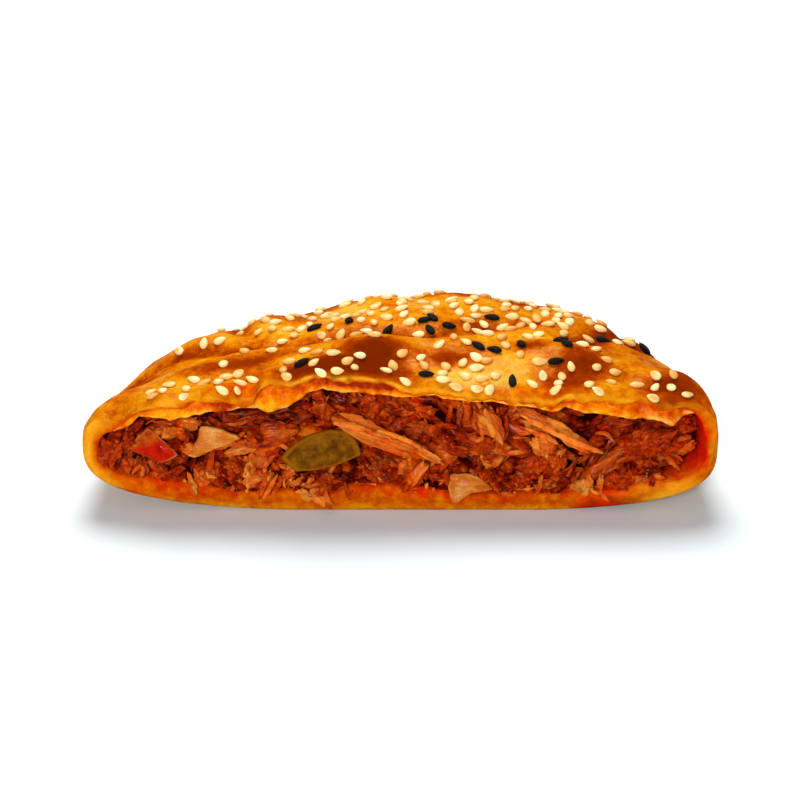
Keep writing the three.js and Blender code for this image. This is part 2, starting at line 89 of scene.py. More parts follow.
# Blisters, humps and hollows of the top: x, d, radius across, radius back, height
HUMPS = (
    (-6, 13, 12, 7, 1.3), (12, 13, 5, 4, 0.8), (39, 15, 11, 7, 1.4), (59, 10, 7, 7, 2), (28, 18, 5, 4, 0.6),
    (-38, 17, 10, 5, 1.2), (-59, 6, 6, 6, -0.2), (-46, 33, 7, 6, 2.2), (18, 38, 18, 9, 0.7),
    (37, 36, 9, 9, 0.9), (-21, 44, 11, 14, -2.6), (2, 46, 12, 10, -1.1), (16, 56, 11, 6, 1),
    (42, 50, 8, 6, 0.9), (-29, 40, 7, 9, 2.8), (-4, 46, 5, 7, 1.3), (17, 44, 5, 7, 1),
)

# Creases between the folded masses of dough: a line through points x, d, then width and depth
CREASES = (
    (((-62, 24), (-46, 27.5), (-34, 24.5), (-20, 22), (-4, 22.5), (8, 21), (18, 25), (30, 31)), 2.4, 1.5),
    (((62, 34), (52, 31), (45, 29.5), (40, 25), (36, 23)), 2.2, 1.4),
    (((-31, 29), (-36, 38), (-36, 48), (-30, 58)), 2.8, 2.0),
    (((47, 30), (49, 40), (44, 52)), 2.2, 1.4),
)

_low, _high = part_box("crust")
MIDDLE_X = 500 * (_low[0] + _high[0])
CUT_Y = 1000 * _high[1] - DEPTH


def mix(start, end, share):
    return start + (end - start) * share


def bell(x, centre, spread):
    return np.exp(-(((x - centre) / spread) ** 2))


def smooth(start, end, x):
    t = np.clip((x - start) / (end - start), 0, 1)
    return t * t * (3 - 2 * t)


def arch(q, power):
    return (1 - np.clip(q, 0, 1) ** power) ** (1 / power)


def super_radius(a, power):
    return (np.abs(np.cos(a)) ** power + np.abs(np.sin(a)) ** power) ** (-1 / power)


def sum_of_bells(x, y, spots):
    """Soft-edged spots added up. Each has its middle, its radius along x and along y, and its strength."""
    return sum(strength * bell(x, mx, rx) * bell(y, my, ry) for mx, my, rx, ry, strength in spots)


def height_at(x, line):
    """The height at x of a line given by points x, z."""
    return np.interp(x, *zip(*line))


def stacked(*parts):
    """Points from their coordinates, each spread over the shape that all share."""
    return np.stack(np.broadcast_arrays(*parts), -1)


class Noise:
    """Smooth gradient noise in three dimensions, about -1 to 1, from one seed."""

    def __init__(self, seed):
        rng = np.random.default_rng(seed)
        self.table = rng.permutation(256)
        directions = rng.normal(size=(256, 3))
        self.directions = directions / np.linalg.norm(directions, axis=1)[:, None]
        self.turn = np.linalg.qr(rng.normal(size=(3, 3)))[0]

    def __call__(self, points):
        points = points @ self.turn
        cell = np.floor(points).astype(int)
        inside = points - cell
        weight = inside ** 3 * (inside * (inside * 6 - 15) + 10)
        total = np.zeros(len(points))
        for corner in range(8):
            step = np.array([corner & 1, corner >> 1 & 1, corner >> 2 & 1])
            x, y, z = ((cell + step) & 255).T
            grad = self.directions[self.table[(self.table[(self.table[x] + y) & 255] + z) & 255]]
            share = np.where(step == 1, weight, 1 - weight).prod(axis=1)
            total += share * ((inside - step) * grad).sum(axis=1)
        return 1.6 * total

    def octaves(self, points, count):
        return sum(self(points * 2 ** k + 17 * k) / 2 ** k for k in range(count))

    def over(self, grid, count):
        """The noise at each point of a grid."""
        return self.octaves(grid.reshape(-1, 3), count).reshape(grid.shape[:-1])


def spline(points, count=61):
    """Points of a smooth curve through the given ones."""
    p = np.array(points, float)
    last = len(p) - 1
    t = np.linspace(0, last, count)
    i = np.minimum(t.astype(int), last)
    w = (t - i)[:, None]
    p0, p1 = p[np.maximum(i - 1, 0)], p[i]
    p2, p3 = p[np.minimum(i + 1, last)], p[np.minimum(i + 2, last)]
    v0, v1 = (p2 - p0) / 2, (p3 - p1) / 2
    return (2 * p1 - 2 * p2 + v0 + v1) * w ** 3 + (3 * p2 - 3 * p1 - 2 * v0 - v1) * w ** 2 + v0 * w + p1


def crown(x, d):
    lip = LIP_HEIGHT + sum(height * bell(x, centre, spread) for centre, spread, height in LIP_WAVES)
    rise = 1 - (1 - np.clip(d / CROWN_DEPTH, -0.2, 1)) ** 2.2
    return mix(lip, CROWN, rise)


def crease_depth(x, d):
    deepest = np.zeros_like(x)
    for line, width, depth in CREASES:
        distance = np.full_like(x, np.inf)
        for px, pd in spline(line):
            distance = np.minimum(distance, np.hypot(x - px, d - pd))
        deepest = np.maximum(deepest, depth * bell(distance, 0, width))
    return deepest


def relief(x, d):
    waves = 0.25 * np.sin(0.31 * x + 0.2 * d) + 0.2 * np.sin(0.17 * x - 0.37 * d + 1)
    return sum_of_bells(x, d, HUMPS) - crease_depth(x, d) + waves


def grid_quads(i, j, k, columns):
    """Quads between rows i and i + 1 and columns j and k of a grid of points."""
    corners = [i * columns + j, (i + 1) * columns + j, (i + 1) * columns + k, i * columns + k]
    return np.stack(corners, -1).reshape(-1, 4)


def lip_reach(x):
    uneven = 0.74 + 0.12 * np.sin(0.45 * x + 0.6) + 0.08 * np.sin(0.83 * x) + 0.05 * np.sin(2.1 * x + 1)
    return LIP_REACH * uneven * smooth(LIP_END + 10, LIP_END, np.abs(x))


def on_top_at(a):
    return smooth(0.05, 0.45, np.sin(a))


def start_depth(a):
    return -lip_reach(HALF_WIDTH * super_radius(a, 4) * np.cos(a)) * on_top_at(a)


def back_depth(inset, gap=0.0):
    return DEPTH - inset * WALL_BACK - gap


def wall(a, d, inset, gap=0.0):
    """Points of the pocket's wall. inset is 0 outside and 1 inside, and gap stands off the inside."""
    c, s = np.cos(a), np.sin(a)
    on_top = on_top_at(a)
    along = np.clip(d / back_depth(inset, gap), 0, 1)
    behind = smooth(0, SECTION_DEPTH, d)
    edge = np.clip(1 - d / EDGE_LENGTH, 0, 1)
    rounding = EDGE_INSET * (1 - np.sqrt(1 - edge ** 2)) * (1 - on_top) * (-0.6 if inset else 1)

    top_power = np.where(c > 0, mix(*SECTION_TOP_RIGHT, behind), mix(*SECTION_TOP_LEFT, behind))
    power = np.where(s > 0, top_power, np.where(c > 0, *SECTION_BASE))
    r = super_radius(a, power)
    side = np.where(c > 0, WALL_RIGHT, WALL_LEFT)
    x = (HALF_WIDTH - side * inset - gap - rounding) * arch(along, PLAN_POWER) * r * c
    rim = mix(RIM_FRONT, RIM_BACK, smooth(0, RIM_DEPTH, d))

    deep = (rim + BASE_SINK - WALL_BASE * inset - gap - 0.3 * rounding) * arch(along, BASE_POWER)
    base = np.maximum(rim + deep * r * s, 0)

    sheet = mix(side, mix(SHEET_LIP, SHEET_BACK, smooth(-LIP_REACH, SHEET_DEPTH, d)), on_top)
    lean = 1 - behind * np.abs(r * c) * np.where(c < 0, LEFT_LEAN, RIGHT_LEAN)
    high = (crown(x, d) - rim) * arch(along, TOP_POWER) * lean - sheet * inset - gap - rounding
    curl = LIP_CURL * (np.minimum(d, 0) / LIP_REACH) ** 2 * on_top
    top = rim + high * r * s - curl
    if not inset:
        shown = smooth(0, 0.5, s) * smooth(1, 0.85, along) * smooth(-3, 3, d)
        top = top + shown * relief(x, d)
    return np.stack([x, d + 0 * x, np.where(s > 0, top, base)], axis=-1)


# ---------------------------------------------------------------- meshes and placing


def grid_normals(grid):
    """Outward normals of a grid of points whose second axis closes on itself."""
    along = np.gradient(grid, axis=0)
    around = np.roll(grid, -1, axis=1) - np.roll(grid, 1, axis=1)
    normal = np.cross(along, around)
    return normal / np.maximum(np.linalg.norm(normal, axis=-1, keepdims=True), 1e-9)


def tube_faces(rows, columns):
    """Quads of a grid closed round its columns, and the triangles that join both ends to two more points."""
    i, j = np.mgrid[0:rows - 1, 0:columns]
    quads = grid_quads(i, j, (j + 1) % columns, columns)
    j = np.arange(columns)
    k = (j + 1) % columns
    tip = np.full(columns, rows * columns)
    last = (rows - 1) * columns
    tris = np.concatenate([np.stack([tip, j, k], -1), np.stack([tip + 1, last + k, last + j], -1)])
    return quads, tris


def strip_faces(rows, columns):
    """Quads of an open grid."""
    i, j = np.mgrid[0:rows - 1, 0:columns - 1]
    return grid_quads(i, j, j + 1, columns)


def with_tips(grid):
    """A grid's points, then the middles of its first and last rows."""
    return np.concatenate([grid.reshape(-1, 3), [grid[0].mean(0), grid[-1].mean(0)]])


class Pieces:
    """Collects the points, faces and point values of many small forms for one mesh."""

    def __init__(self):
        self.points, self.quads, self.tris, self.values, self.count = [], [], [], [], 0

    def add(self, points, quads, tris, values):
        self.points.append(points)
        self.quads.append(quads + self.count)
        self.tris.append(tris + self.count)
        self.values.append({key: self.at_each(points, key, value) for key, value in values.items()})
        self.count += len(points)

    @staticmethod
    def at_each(points, key, value):
        return np.broadcast_to(value, (len(points), 3) if key == "grain" else (len(points),))

    def build(self, name, material, slot, *nodes):
        faces = np.concatenate(self.quads), np.concatenate(self.tris)
        values = {key: np.concatenate([v[key] for v in self.values]) for key in self.values[0]}
        build(name, np.concatenate(self.points), *faces, values, material, slot, *nodes)


def build(name, points, quads, tris, values, material, slot, *nodes):
    """Makes a mesh object of points x, d, z in millimetres. It rides on the pie and stands for the nodes."""
    loops = np.concatenate([quads.ravel(), tris.ravel()]).astype(np.int32)
    starts = np.concatenate([4 * np.arange(len(quads)), 4 * len(quads) + 3 * np.arange(len(tris))])
    mesh = bpy.data.meshes.new(name)
    mesh.vertices.add(len(points))
    mesh.loops.add(len(loops))
    mesh.polygons.add(len(starts))
    placed = (points + [MIDDLE_X, CUT_Y, 0]) / 1000
    mesh.vertices.foreach_set("co", placed.astype(np.float32).ravel())
    mesh.loops.foreach_set("vertex_index", loops)
    mesh.polygons.foreach_set("loop_start", starts.astype(np.int32))
    mesh.polygons.foreach_set("use_smooth", np.ones(len(starts), bool))
    for key, value in values.items():
        kind, field = ("FLOAT_VECTOR", "vector") if value.ndim == 2 else ("FLOAT", "value")
        mesh.attributes.new(key, kind, "POINT").data.foreach_set(field, value.astype(np.float32).ravel())
    mesh.update(calc_edges=True)
    mesh.validate()
    piece = bpy.data.objects.new(name, mesh)
    bpy.context.scene.collection.objects.link(piece)
    mesh.materials.append(material)
    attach(piece, "root")
    if nodes:
        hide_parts(*nodes)
    return piece


def place(points, x, d, z, slope, lean):
    """Turns points by slope in the plane of the cut, leans their top back, and moves them to x, d, z."""
    s, t = math.radians(slope), math.radians(lean)
    turn = np.array([[math.cos(s), 0, -math.sin(s)], [0, 1, 0], [math.sin(s), 0, math.cos(s)]])
    tip = np.array([[1, 0, 0], [0, math.cos(t), math.sin(t)], [0, -math.sin(t), math.cos(t)]])
    return points @ (tip @ turn).T + [x, d, z]


def shader_color(color):
    """A number as a grey, three display values of 0 to 255 as the shader's colour, and a list as it is."""
    if isinstance(color, tuple):
        channels = [c / 255 for c in color]
        return [c / 12.92 if c <= 0.04045 else ((c + 0.055) / 1.055) ** 2.4 for c in channels] + [1]
    return color if isinstance(color, list) else [color, color, color, 1]


# ---------------------------------------------------------------- materials


class Nodes:
    """Builds one material's node tree, with positions in millimetres."""

    def __init__(self, name, coat=0.0, coat_roughness=0.03, specular=0.0, **more):
        self.material = bpy.data.materials.new(name)
        self.material.use_nodes = True
        self.tree = self.material.node_tree
        self.shader = self.tree.nodes["Principled BSDF"]
        settings = {"Coat Weight": coat, "Coat Roughness": coat_roughness, "Specular IOR Level": specular}
        for key, value in (settings | more).items():
            self.shader.inputs[key].default_value = value
        where = self.tree.nodes.new("ShaderNodeTexCoord").outputs["Object"]
        self.where = self.vector("SCALE", where, scale=1000)

    def link(self, source, target):
        if hasattr(source, "is_output"):
            self.tree.links.new(source, target)
        else:
            target.default_value = source

    def vector(self, operation, first, second=None, scale=1.0):
        node = self.tree.nodes.new("ShaderNodeVectorMath")
        node.operation = operation
        self.link(first, node.inputs[0])
        if second is not None:
            self.link(second, node.inputs[1])
        if operation == "SCALE":
            node.inputs["Scale"].default_value = scale
        return node.outputs[0]

    def math(self, operation, first, second, clamp=False):
        node = self.tree.nodes.new("ShaderNodeMath")
        node.operation = operation
        node.use_clamp = clamp
        self.link(first, node.inputs[0])
        self.link(second, node.inputs[1])
        return node.outputs[0]

    def add(self, first, second, clamp=False):
        return self.math("ADD", first, second, clamp)

    def less(self, first, second):
        return self.math("SUBTRACT", first, second)

    def times(self, first, second, clamp=False):
        return self.math("MULTIPLY", first, second, clamp)

    def total(self, *parts):
        """The sum of some outputs, each times its weight."""
        result, *others = [self.times(output, weight) for output, weight in parts]
        for other in others:
            result = self.add(result, other)
        return result

    def swing(self, output, middle, weight):
        """How far an output is from its middle, times a weight."""
        return self.times(self.less(output, middle), weight)

    def value(self, name, vector=False):
        node = self.tree.nodes.new("ShaderNodeAttribute")
        node.attribute_name = name
        return node.outputs["Vector" if vector else "Fac"]

    def noise(self, scale, detail=3.0, roughness=0.55, where=None, distortion=0.0):
        node = self.tree.nodes.new("ShaderNodeTexNoise")
        self.link(where or self.where, node.inputs["Vector"])
        node.inputs["Scale"].default_value = scale
        node.inputs["Detail"].default_value = detail
        node.inputs["Roughness"].default_value = roughness
        node.inputs["Distortion"].default_value = distortion
        return node.outputs["Fac"]

    def fibres(self, across, along):
        """Noise drawn out along a piece's own fibres."""
        grain = self.value("grain", vector=True)
        return self.noise(1.0, 3, 0.6, self.vector("MULTIPLY", grain, (across, along, 1.0)))

    def spots(self, scale):
        node = self.tree.nodes.new("ShaderNodeTexVoronoi")
        self.link(self.where, node.inputs["Vector"])
        node.inputs["Scale"].default_value = scale
        return node.outputs["Distance"]

    def ramp(self, factor, *stops):
        node = self.tree.nodes.new("ShaderNodeValToRGB")
        elements = node.color_ramp.elements
        while len(elements) < len(stops):
            elements.new(0.5)
        for element, (position, color) in zip(elements, stops):
            element.position = position
            element.color = shader_color(color)
        self.link(factor, node.inputs[0])
        return node.outputs["Color"]

    def blend(self, factor, first, second):
        node = self.tree.nodes.new("ShaderNodeMix")
        node.data_type = "RGBA"
        self.link(factor, node.inputs["Factor"])
        sockets = [s for s in node.inputs if s.type == "RGBA"]
        for color, socket in zip((first, second), sockets):
            self.link(shader_color(color) if isinstance(color, tuple) else color, socket)
        return [s for s in node.outputs if s.type == "RGBA"][0]

    def bump(self, height, distance_mm):
        node = self.tree.nodes.new("ShaderNodeBump")
        node.inputs["Distance"].default_value = distance_mm / 1000
        node.inputs["Strength"].default_value = 1.0
        self.link(height, node.inputs["Height"])
        return node.outputs["Normal"]

    def finish(self, color, roughness=None, normal=None):
        self.link(color, self.shader.inputs["Base Color"])
        if roughness is not None:
            self.link(roughness, self.shader.inputs["Roughness"])
        if normal is not None:
            self.link(normal, self.shader.inputs["Normal"])
        return self.material


def crust_material():
    """Baked, glazed dough: pale to brown as it has baked, stained round the filling, pale where torn, with
    painted shade in its creases, in the pocket and atop the bottom lip, and a painted highlight on the torn
    edge.
    """
    n = Nodes("baked_dough", coat_roughness=0.22)
    broad, fine, grit = n.noise(0.13, 5, 0.6), n.noise(0.55, 6, 0.68, distortion=0.5), n.noise(3.0, 4, 0.7)
    uneven = n.total((broad, 1.5), (fine, 1.5), (grit, 0.5))
    # How baked the dough is, with painted shade in its creases, inside the pocket and at the top of the
    # bottom lip.
    bake = n.times(n.add(n.value("bake"), n.less(uneven, 1.75)), 0.5)
    bake = n.add(bake, 0.36, clamp=True)
    color = n.ramp(bake, (0.0, (222, 176, 66)), (0.2, (216, 148, 14)), (0.38, (204, 114, 1)),
                   (0.54, (178, 80, 1)), (0.7, (146, 48, 1)), (1.0, (112, 32, 1)))
    orange = n.ramp(n.noise(0.4, 5, 0.6), (0.35, (180, 42, 0)), (0.5, (198, 78, 0)), (0.65, (216, 120, 2)))
    # Oil stains, and painted shade round the filling inside the pocket.
    stain = n.times(n.value("stain"), n.ramp(fine, (0.3, 0.5), (0.6, 1.0)), clamp=True)
    color = n.blend(stain, color, orange)
    color = n.blend(n.value("red"), color, n.ramp(fine, (0.35, (226, 8, 0)), (0.65, (240, 42, 0))))
    # Pale torn dough, with a painted highlight along the torn edge.
    color = n.blend(n.value("pale"), color, n.ramp(fine, (0.35, (236, 136, 6)), (0.65, (248, 180, 40))))
    shine = n.ramp(n.add(bake, stain), (0.3, 0.08), (0.6, 0.0))
    n.link(shine, n.shader.inputs["Coat Weight"])
    height = n.total((n.noise(1.1, 5, 0.6), 0.7), (grit, 0.35))
    return n.finish(color, n.ramp(fine, (0.3, 0.3), (0.7, 0.48)), n.bump(height, 0.45))


def torn_material():
    """Dough torn open from inside: moist and orange, darker where it folds up under the crust, pale along its
    thin edge, partly as a painted highlight.
    """
    n = Nodes("torn_dough", 0.03, 0.25)
    fine, broad = n.noise(0.7, 6, 0.68, distortion=0.5), n.noise(0.22, 4, 0.6)
    uneven = n.total((fine, 0.9), (broad, 0.9))
    tone = n.add(n.value("tone"), n.less(uneven, 0.9), clamp=True)
    color = n.ramp(tone, (0.1, (150, 40, 0)), (0.35, (206, 74, 0)),
                   (0.6, (234, 118, 2)), (0.95, (250, 176, 20)))
    color = n.blend(n.value("pale"), color, n.ramp(fine, (0.35, (244, 166, 40)), (0.65, (252, 214, 124))))
    return n.finish(color, n.ramp(fine, (0.3, 0.3), (0.7, 0.5)), n.bump(n.noise(1.4, 5, 0.65), 0.35))


def tuna_material():
    """Cooked tuna: fibres along the flake, paler at thin edges as a painted highlight, under patches of red
    and brown sauce.
    """
    soft = {"Subsurface Weight": 0.5, "Subsurface Scale": 0.0015, "Subsurface Radius": (1.0, 0.35, 0.1)}
    n = Nodes("tuna_fibres", 0.08, 0.15, **soft)
    streaks = n.fibres(2.6, 0.5)
    patches, regions = n.noise(0.5, 5, 0.65), n.noise(0.16, 3, 0.5)
    shade = n.add(n.value("tone"), n.swing(streaks, 0.5, 0.6))
    uneven = n.add(n.swing(patches, 0.5, 0.75), n.swing(regions, 0.52, 1.2))
    plain = n.less(1.0, n.value("calm"))
    shade = n.add(shade, n.times(uneven, plain), clamp=True)
    color = n.ramp(shade, (0.05, (66, 6, 0)), (0.3, (132, 22, 0)), (0.6, (202, 68, 2)), (1.0, (242, 130, 40)))
    # A painted highlight: paler along the flakes' thin edges.
    color = n.blend(n.ramp(n.value("rim"), (0.6, 0.0), (1.0, 0.2)), color, (240, 150, 76))
    sauce = n.times(n.ramp(n.noise(0.45, 5, 0.6), (0.5, 0.0), (0.66, 0.8)), plain)
    sauce = n.math("MAXIMUM", sauce, n.value("wet"))
    color = n.blend(sauce, color, n.ramp(n.noise(1.3, 3), (0.4, (124, 8, 0)), (0.6, (200, 56, 0))))
    dull = n.ramp(n.noise(0.33, 4, 0.6), (0.5, 0.0), (0.62, 0.35))
    color = n.blend(dull, color, n.ramp(shade, (0.2, (78, 20, 6)), (0.8, (170, 96, 48))))
    height = n.total((streaks, 0.4), (n.noise(2.0, 5, 0.65), 0.6))
    return n.finish(color, n.ramp(streaks, (0.3, 0.35), (0.7, 0.6)), n.bump(height, 0.2))


def sauce_material():
    """The heap behind the flakes: minced tuna in red sauce, with painted shade in its crevices."""
    n = Nodes("tomato_sauce", 0.08, 0.15)
    lumps = n.noise(0.7, 5, 0.65)
    shade = n.add(n.value("tone"), n.swing(lumps, 0.5, 1.2), clamp=True)
    color = n.ramp(shade, (0.1, (40, 2, 0)), (0.35, (104, 16, 0)),
                   (0.6, (160, 48, 1)), (0.95, (214, 104, 16)))
    red = n.ramp(n.noise(0.35, 5, 0.6), (0.5, 0.0), (0.62, 0.7))
    color = n.blend(n.times(red, shade), color, (186, 24, 0))
    height = n.add(lumps, n.times(n.noise(2.4, 4), 0.3))
    return n.finish(color, n.ramp(n.noise(1.2, 3), (0.35, 0.2), (0.65, 0.45)), n.bump(height, 0.5))


def sesame_material():
    n = Nodes("sesame", 0.15, 0.3, 0.15)
    tone = n.add(n.value("tone"), n.swing(n.noise(0.9, 3), 0.5, 0.5))
    color = n.ramp(tone, (0.02, (226, 158, 70)), (0.3, (238, 186, 104)), (0.9, (250, 220, 156)))
    color = n.blend(n.times(n.value("heart"), 0.7), color, (214, 146, 40))
    return n.finish(color, 0.42, n.bump(n.noise(3.0, 3), 0.08))


def nigella_material():
    n = Nodes("nigella", specular=0.08)
    color = n.ramp(n.noise(2.0, 4), (0.35, (10, 8, 7)), (0.7, (34, 26, 22)))
    return n.finish(color, 0.6, n.bump(n.spots(3.2), 0.25))


def pickle_material():
    """Olive flesh, darker and seedy inside, with a lighter band under the skin."""
    n = Nodes("pickle_flesh", 0.025, 0.3)
    flesh = n.ramp(n.noise(0.5, 5, 0.6), (0.35, (78, 42, 2)), (0.5, (108, 62, 3)), (0.68, (138, 84, 8)))
    rim = n.ramp(n.value("rim"), (0.8, 0.0), (0.93, 0.85), (1.0, 0.35))
    color = n.blend(rim, flesh, (156, 92, 10))
    heart = n.ramp(n.value("rim"), (0.4, 1.0), (0.6, 0.0))
    seeds = n.times(n.ramp(n.spots(0.42), (0.06, 1.0), (0.13, 0.0)), heart)
    color = n.blend(n.times(seeds, 0.8), color, (186, 130, 44))
    streaks = n.noise(1.4, 4, 0.6)
    return n.finish(color, n.ramp(streaks, (0.3, 0.25), (0.7, 0.45)), n.bump(streaks, 0.3))


def pepper_material():
    """Red pepper: wet red flesh whose upper part is skin washed over with orange sauce."""
    n = Nodes("pepper_flesh", 0.06, 0.12)
    red = n.ramp(n.noise(0.5, 4), (0.35, (152, 6, 0)), (0.65, (186, 26, 0)))
    washed = n.ramp(n.noise(0.6, 4), (0.35, (146, 40, 2)), (0.65, (186, 82, 14)))
    color = n.blend(n.value("tone"), red, washed)
    # A painted highlight: paler along the piece's edge.
    color = n.blend(n.ramp(n.value("rim"), (0.86, 0.0), (1.0, 0.6)), color, (232, 132, 60))
    return n.finish(color, 0.25, n.bump(n.noise(1.6, 4), 0.15))


def onion_material():
    """Soft cooked onion: translucent, with veins along its length and a paler cut edge."""
    n = Nodes("cooked_onion", 0.08, 0.18)
    veins = n.fibres(2.2, 0.3)
    shade = n.total((veins, 0.3), (n.noise(0.3, 4), 0.7))
    color = n.ramp(shade, (0.34, (168, 64, 4)), (0.5, (194, 104, 28)), (0.66, (210, 142, 70)))
    edge = n.ramp(n.value("rim"), (0.8, 0.0), (1.0, 0.8))
    worn = n.times(edge, n.ramp(n.noise(0.3, 4), (0.45, 0.0), (0.6, 1.0)))
    color = n.blend(worn, color, (230, 166, 84))
    return n.finish(color, 0.32, n.bump(veins, 0.15))


# ---------------------------------------------------------------- crust

# The torn edge over the filling: x and height of the crust's edge, and of the layer of dough inside it
CRUST_EDGE = (
    (-60.4, 19.2), (-54.2, 23.3), (-47.9, 25.2), (-41.7, 25.6), (-38.1, 26.1), (-33.3, 25.6), (-30.8, 25.2),
    (-29.4, 27.6), (-27.9, 30), (-25.2, 29.5), (-22.3, 29.1), (-19.6, 30.4), (-17.1, 31.1), (-12.5, 30.6),
    (-7.9, 30.4), (-2.9, 30), (0, 28.4), (2.5, 27.7), (7.5, 27.7), (14.2, 26.5), (18.8, 26.3), (22.9, 25.6),
    (26.9, 25.6), (31.9, 24.9), (35.4, 26.1), (41.7, 26.1), (46.7, 25.4), (51, 25.4), (54.2, 24.7),
    (57.5, 23.8), (60.4, 24.3), (63.5, 24.3),
)
LAYER_EDGE = (
    (-60.4, 18.1), (-57.9, 19.3), (-56, 20.6), (-54.4, 22.2), (-50.6, 22.2), (-48.3, 21.1), (-44.2, 22),
    (-39.8, 23.4), (-33.5, 23.8), (-29.8, 24.3), (-27.5, 23.1), (-22.9, 24.7), (-20.8, 26.1), (-18.8, 27.5),
    (-16, 28.2), (-8.1, 27.5), (-1.7, 26.6), (2.5, 26.8), (7.5, 27), (8.8, 26.1), (14.2, 25.7),
    (18.8, 25.7), (22.9, 24.7), (26.9, 24.5), (31.9, 23.4), (34.4, 24.3), (37.9, 23.1), (42.5, 22.9),
    (46.7, 21.8), (50.2, 21.3), (53.3, 21.3), (57.1, 20.2), (60.4, 22.5), (63.5, 22.9),
)

# The bottom lip's upper line, where the filling lies on it: x, z
FLOOR_EDGE = (
    (-63.3, 11.4), (-61, 9.3), (-55.2, 8), (-53, 5.9), (-39.4, 5.2), (-34.8, 4.1), (-32.3, 2.5),
    (-28.5, 3.6), (-24, 5.9), (-19.4, 3.4), (-14, 4.8), (-10.4, 6.4), (-2.3, 7), (5.2, 5.9), (9.6, 5.2),
    (14.2, 3.2), (19.4, 4.8), (25.6, 2.5), (33.5, 4.3), (40.2, 3.6), (45.6, 4.3), (52.5, 5.7), (54.6, 7.3),
    (58.3, 9.3), (61.3, 11.4), (62.7, 13.4),
)

# Browned patches and, with a strength below 0, pale ones: x, d, radius across, radius back, strength
BAKED = (
    (-6, 10.5, 6.5, 4.8, 1.5), (-13, 1.5, 11, 5, 2), (-20, 3, 6, 3, 0.7), (10.5, 9.5, 4.4, 3, 1.15),
    (28, 16.5, 5, 2.6, 0.8), (39.5, 9.5, 6, 4.6, 1.2), (35, 2.5, 5, 4, 1.3), (56.5, 2.6, 7, 5.5, 1.4),
    (1.5, 3, 4, 3, 0.5), (-38, 12.5, 8.5, 4, 0.8), (-40, 6, 2.5, 1.5, 0.4), (-23, 5.5, 6, 3, 0.5),
    (-57.5, 4, 4, 4, 0.35), (-26, 42, 6, 5, 0.8), (-45, 29, 5, 3, 0.35), (14, 27, 6, 3, 0.5),
    (-2, 40, 4, 5, 0.5), (44, 24, 5, 6, 0.5), (60, 14, 5, 8, 0.8), (-31, 13, 4, 2, 0.7),
    (-25, 15, 4, 2, 0.7), (-30, 58, 16, 9, 1), (22, 60, 18, 8, 1.1), (54, 38, 9, 9, 0.8),
    (-58, 20, 6, 8, 0.6), (30, 47, 12, 6, 0.6), (14, 2, 8, 5, -0.7), (24, 7, 5, 8, -0.4),
    (-48, 5, 10, 8, -0.1), (5, 45, 18, 8, -0.35), (-12, 45, 12, 8, -0.3), (-8, 36, 6, 6, -0.3),
    (-35, 34, 10, 6, -0.25), (-12, 5, 9, 3, 0.6), (24, 21, 8, 3, -0.4), (45, 3, 6, 4, -0.4),
    (-30, 31, 7, 4, -0.4), (-22, 11, 6, 3, -0.3), (5, 16, 7, 3, -0.2),
)

# Where the filling's oil has stained the crust: x, d, radius across, radius back, strength
STAINED = (
    (-32, 1.5, 5, 4.2, 1), (-38, 0, 5, 2.4, 0.6), (-14, -1.4, 14, 0.8, 0.4), (28, 0, 10, 2.2, 0.8),
    (21, -1, 8, 1.6, 0.7), (52, 0, 8, 2, 0.5), (66, 0, 4, 5, 1), (-66, 0, 3, 6, 0.3), (8, -1, 6, 1.4, 0.4),
)

# How finely the crust and the torn layer are divided
TOP_COLUMNS = 440
BASE_COLUMNS = 110
CRUST_ROWS = 130
INSIDE_ROWS = 16
EDGE_RINGS = 6
LAYER_COLUMNS = 800
LAYER_ROWS = 21

LAYER_THICKNESS = 0.8

# Where the torn layer is darker: x, spread, how much
LAYER_DARK = ((-9, 10, 0.25), (-35, 4, 0.3), (28, 8, 0.15), (-36, 6, 0.15))


def crust_angles():
    top = np.pi * (np.arange(TOP_COLUMNS) + 0.5) / TOP_COLUMNS
    base = np.pi + np.pi * (np.arange(BASE_COLUMNS) + 0.5) / BASE_COLUMNS
    return np.concatenate([top, base])


def wall_grid(a, rows, inset):
    v = (np.arange(rows) / rows) ** 1.25
    d = mix(start_depth(a)[None], back_depth(inset), np.sin(v * np.pi / 2)[:, None])
    return wall(np.broadcast_to(a, d.shape).ravel(), d.ravel(), inset).reshape(rows, len(a), 3)


def lip_fit(points, plain):
    """How far the front of the top sheet moves up or down, so that its edge runs where it is torn."""
    x, d = points[..., 0], points[..., 1]
    return (height_at(x, CRUST_EDGE) - np.interp(x, *plain)) * smooth(6, -1, d)


def crust_points():
    """Rings of points from deep in the pocket, round its edge and back outside, and their angles."""
    a = crust_angles()
    on_top = on_top_at(a)
    outside, inside = wall_grid(a, CRUST_ROWS, 0), wall_grid(a, INSIDE_ROWS, 1)
    order = np.argsort(outside[0, :TOP_COLUMNS, 0])
    plain = (outside[0, order, 0], outside[0, order, 2] - SHEET_LIP)
    for grid in (outside, inside):
        grid[..., 2] += lip_fit(grid, plain) * on_top * smooth(66, 58, np.abs(grid[..., 0]))

    x, d = inside[..., 0], inside[..., 1]
    near = smooth(58, 50, np.abs(x)) * smooth(9, 2, d)
    inside[..., 2] += np.clip(height_at(x, FLOOR_EDGE) - WALL_BASE, 0, 2) * near * (1 - on_top)
    outside = outside + crust_relief(outside, a)
    edge = edge_rings(outside[0], inside[0], mix(EDGE_BULGE, 0.3, on_top))
    return np.concatenate([inside[::-1], edge, outside]), a


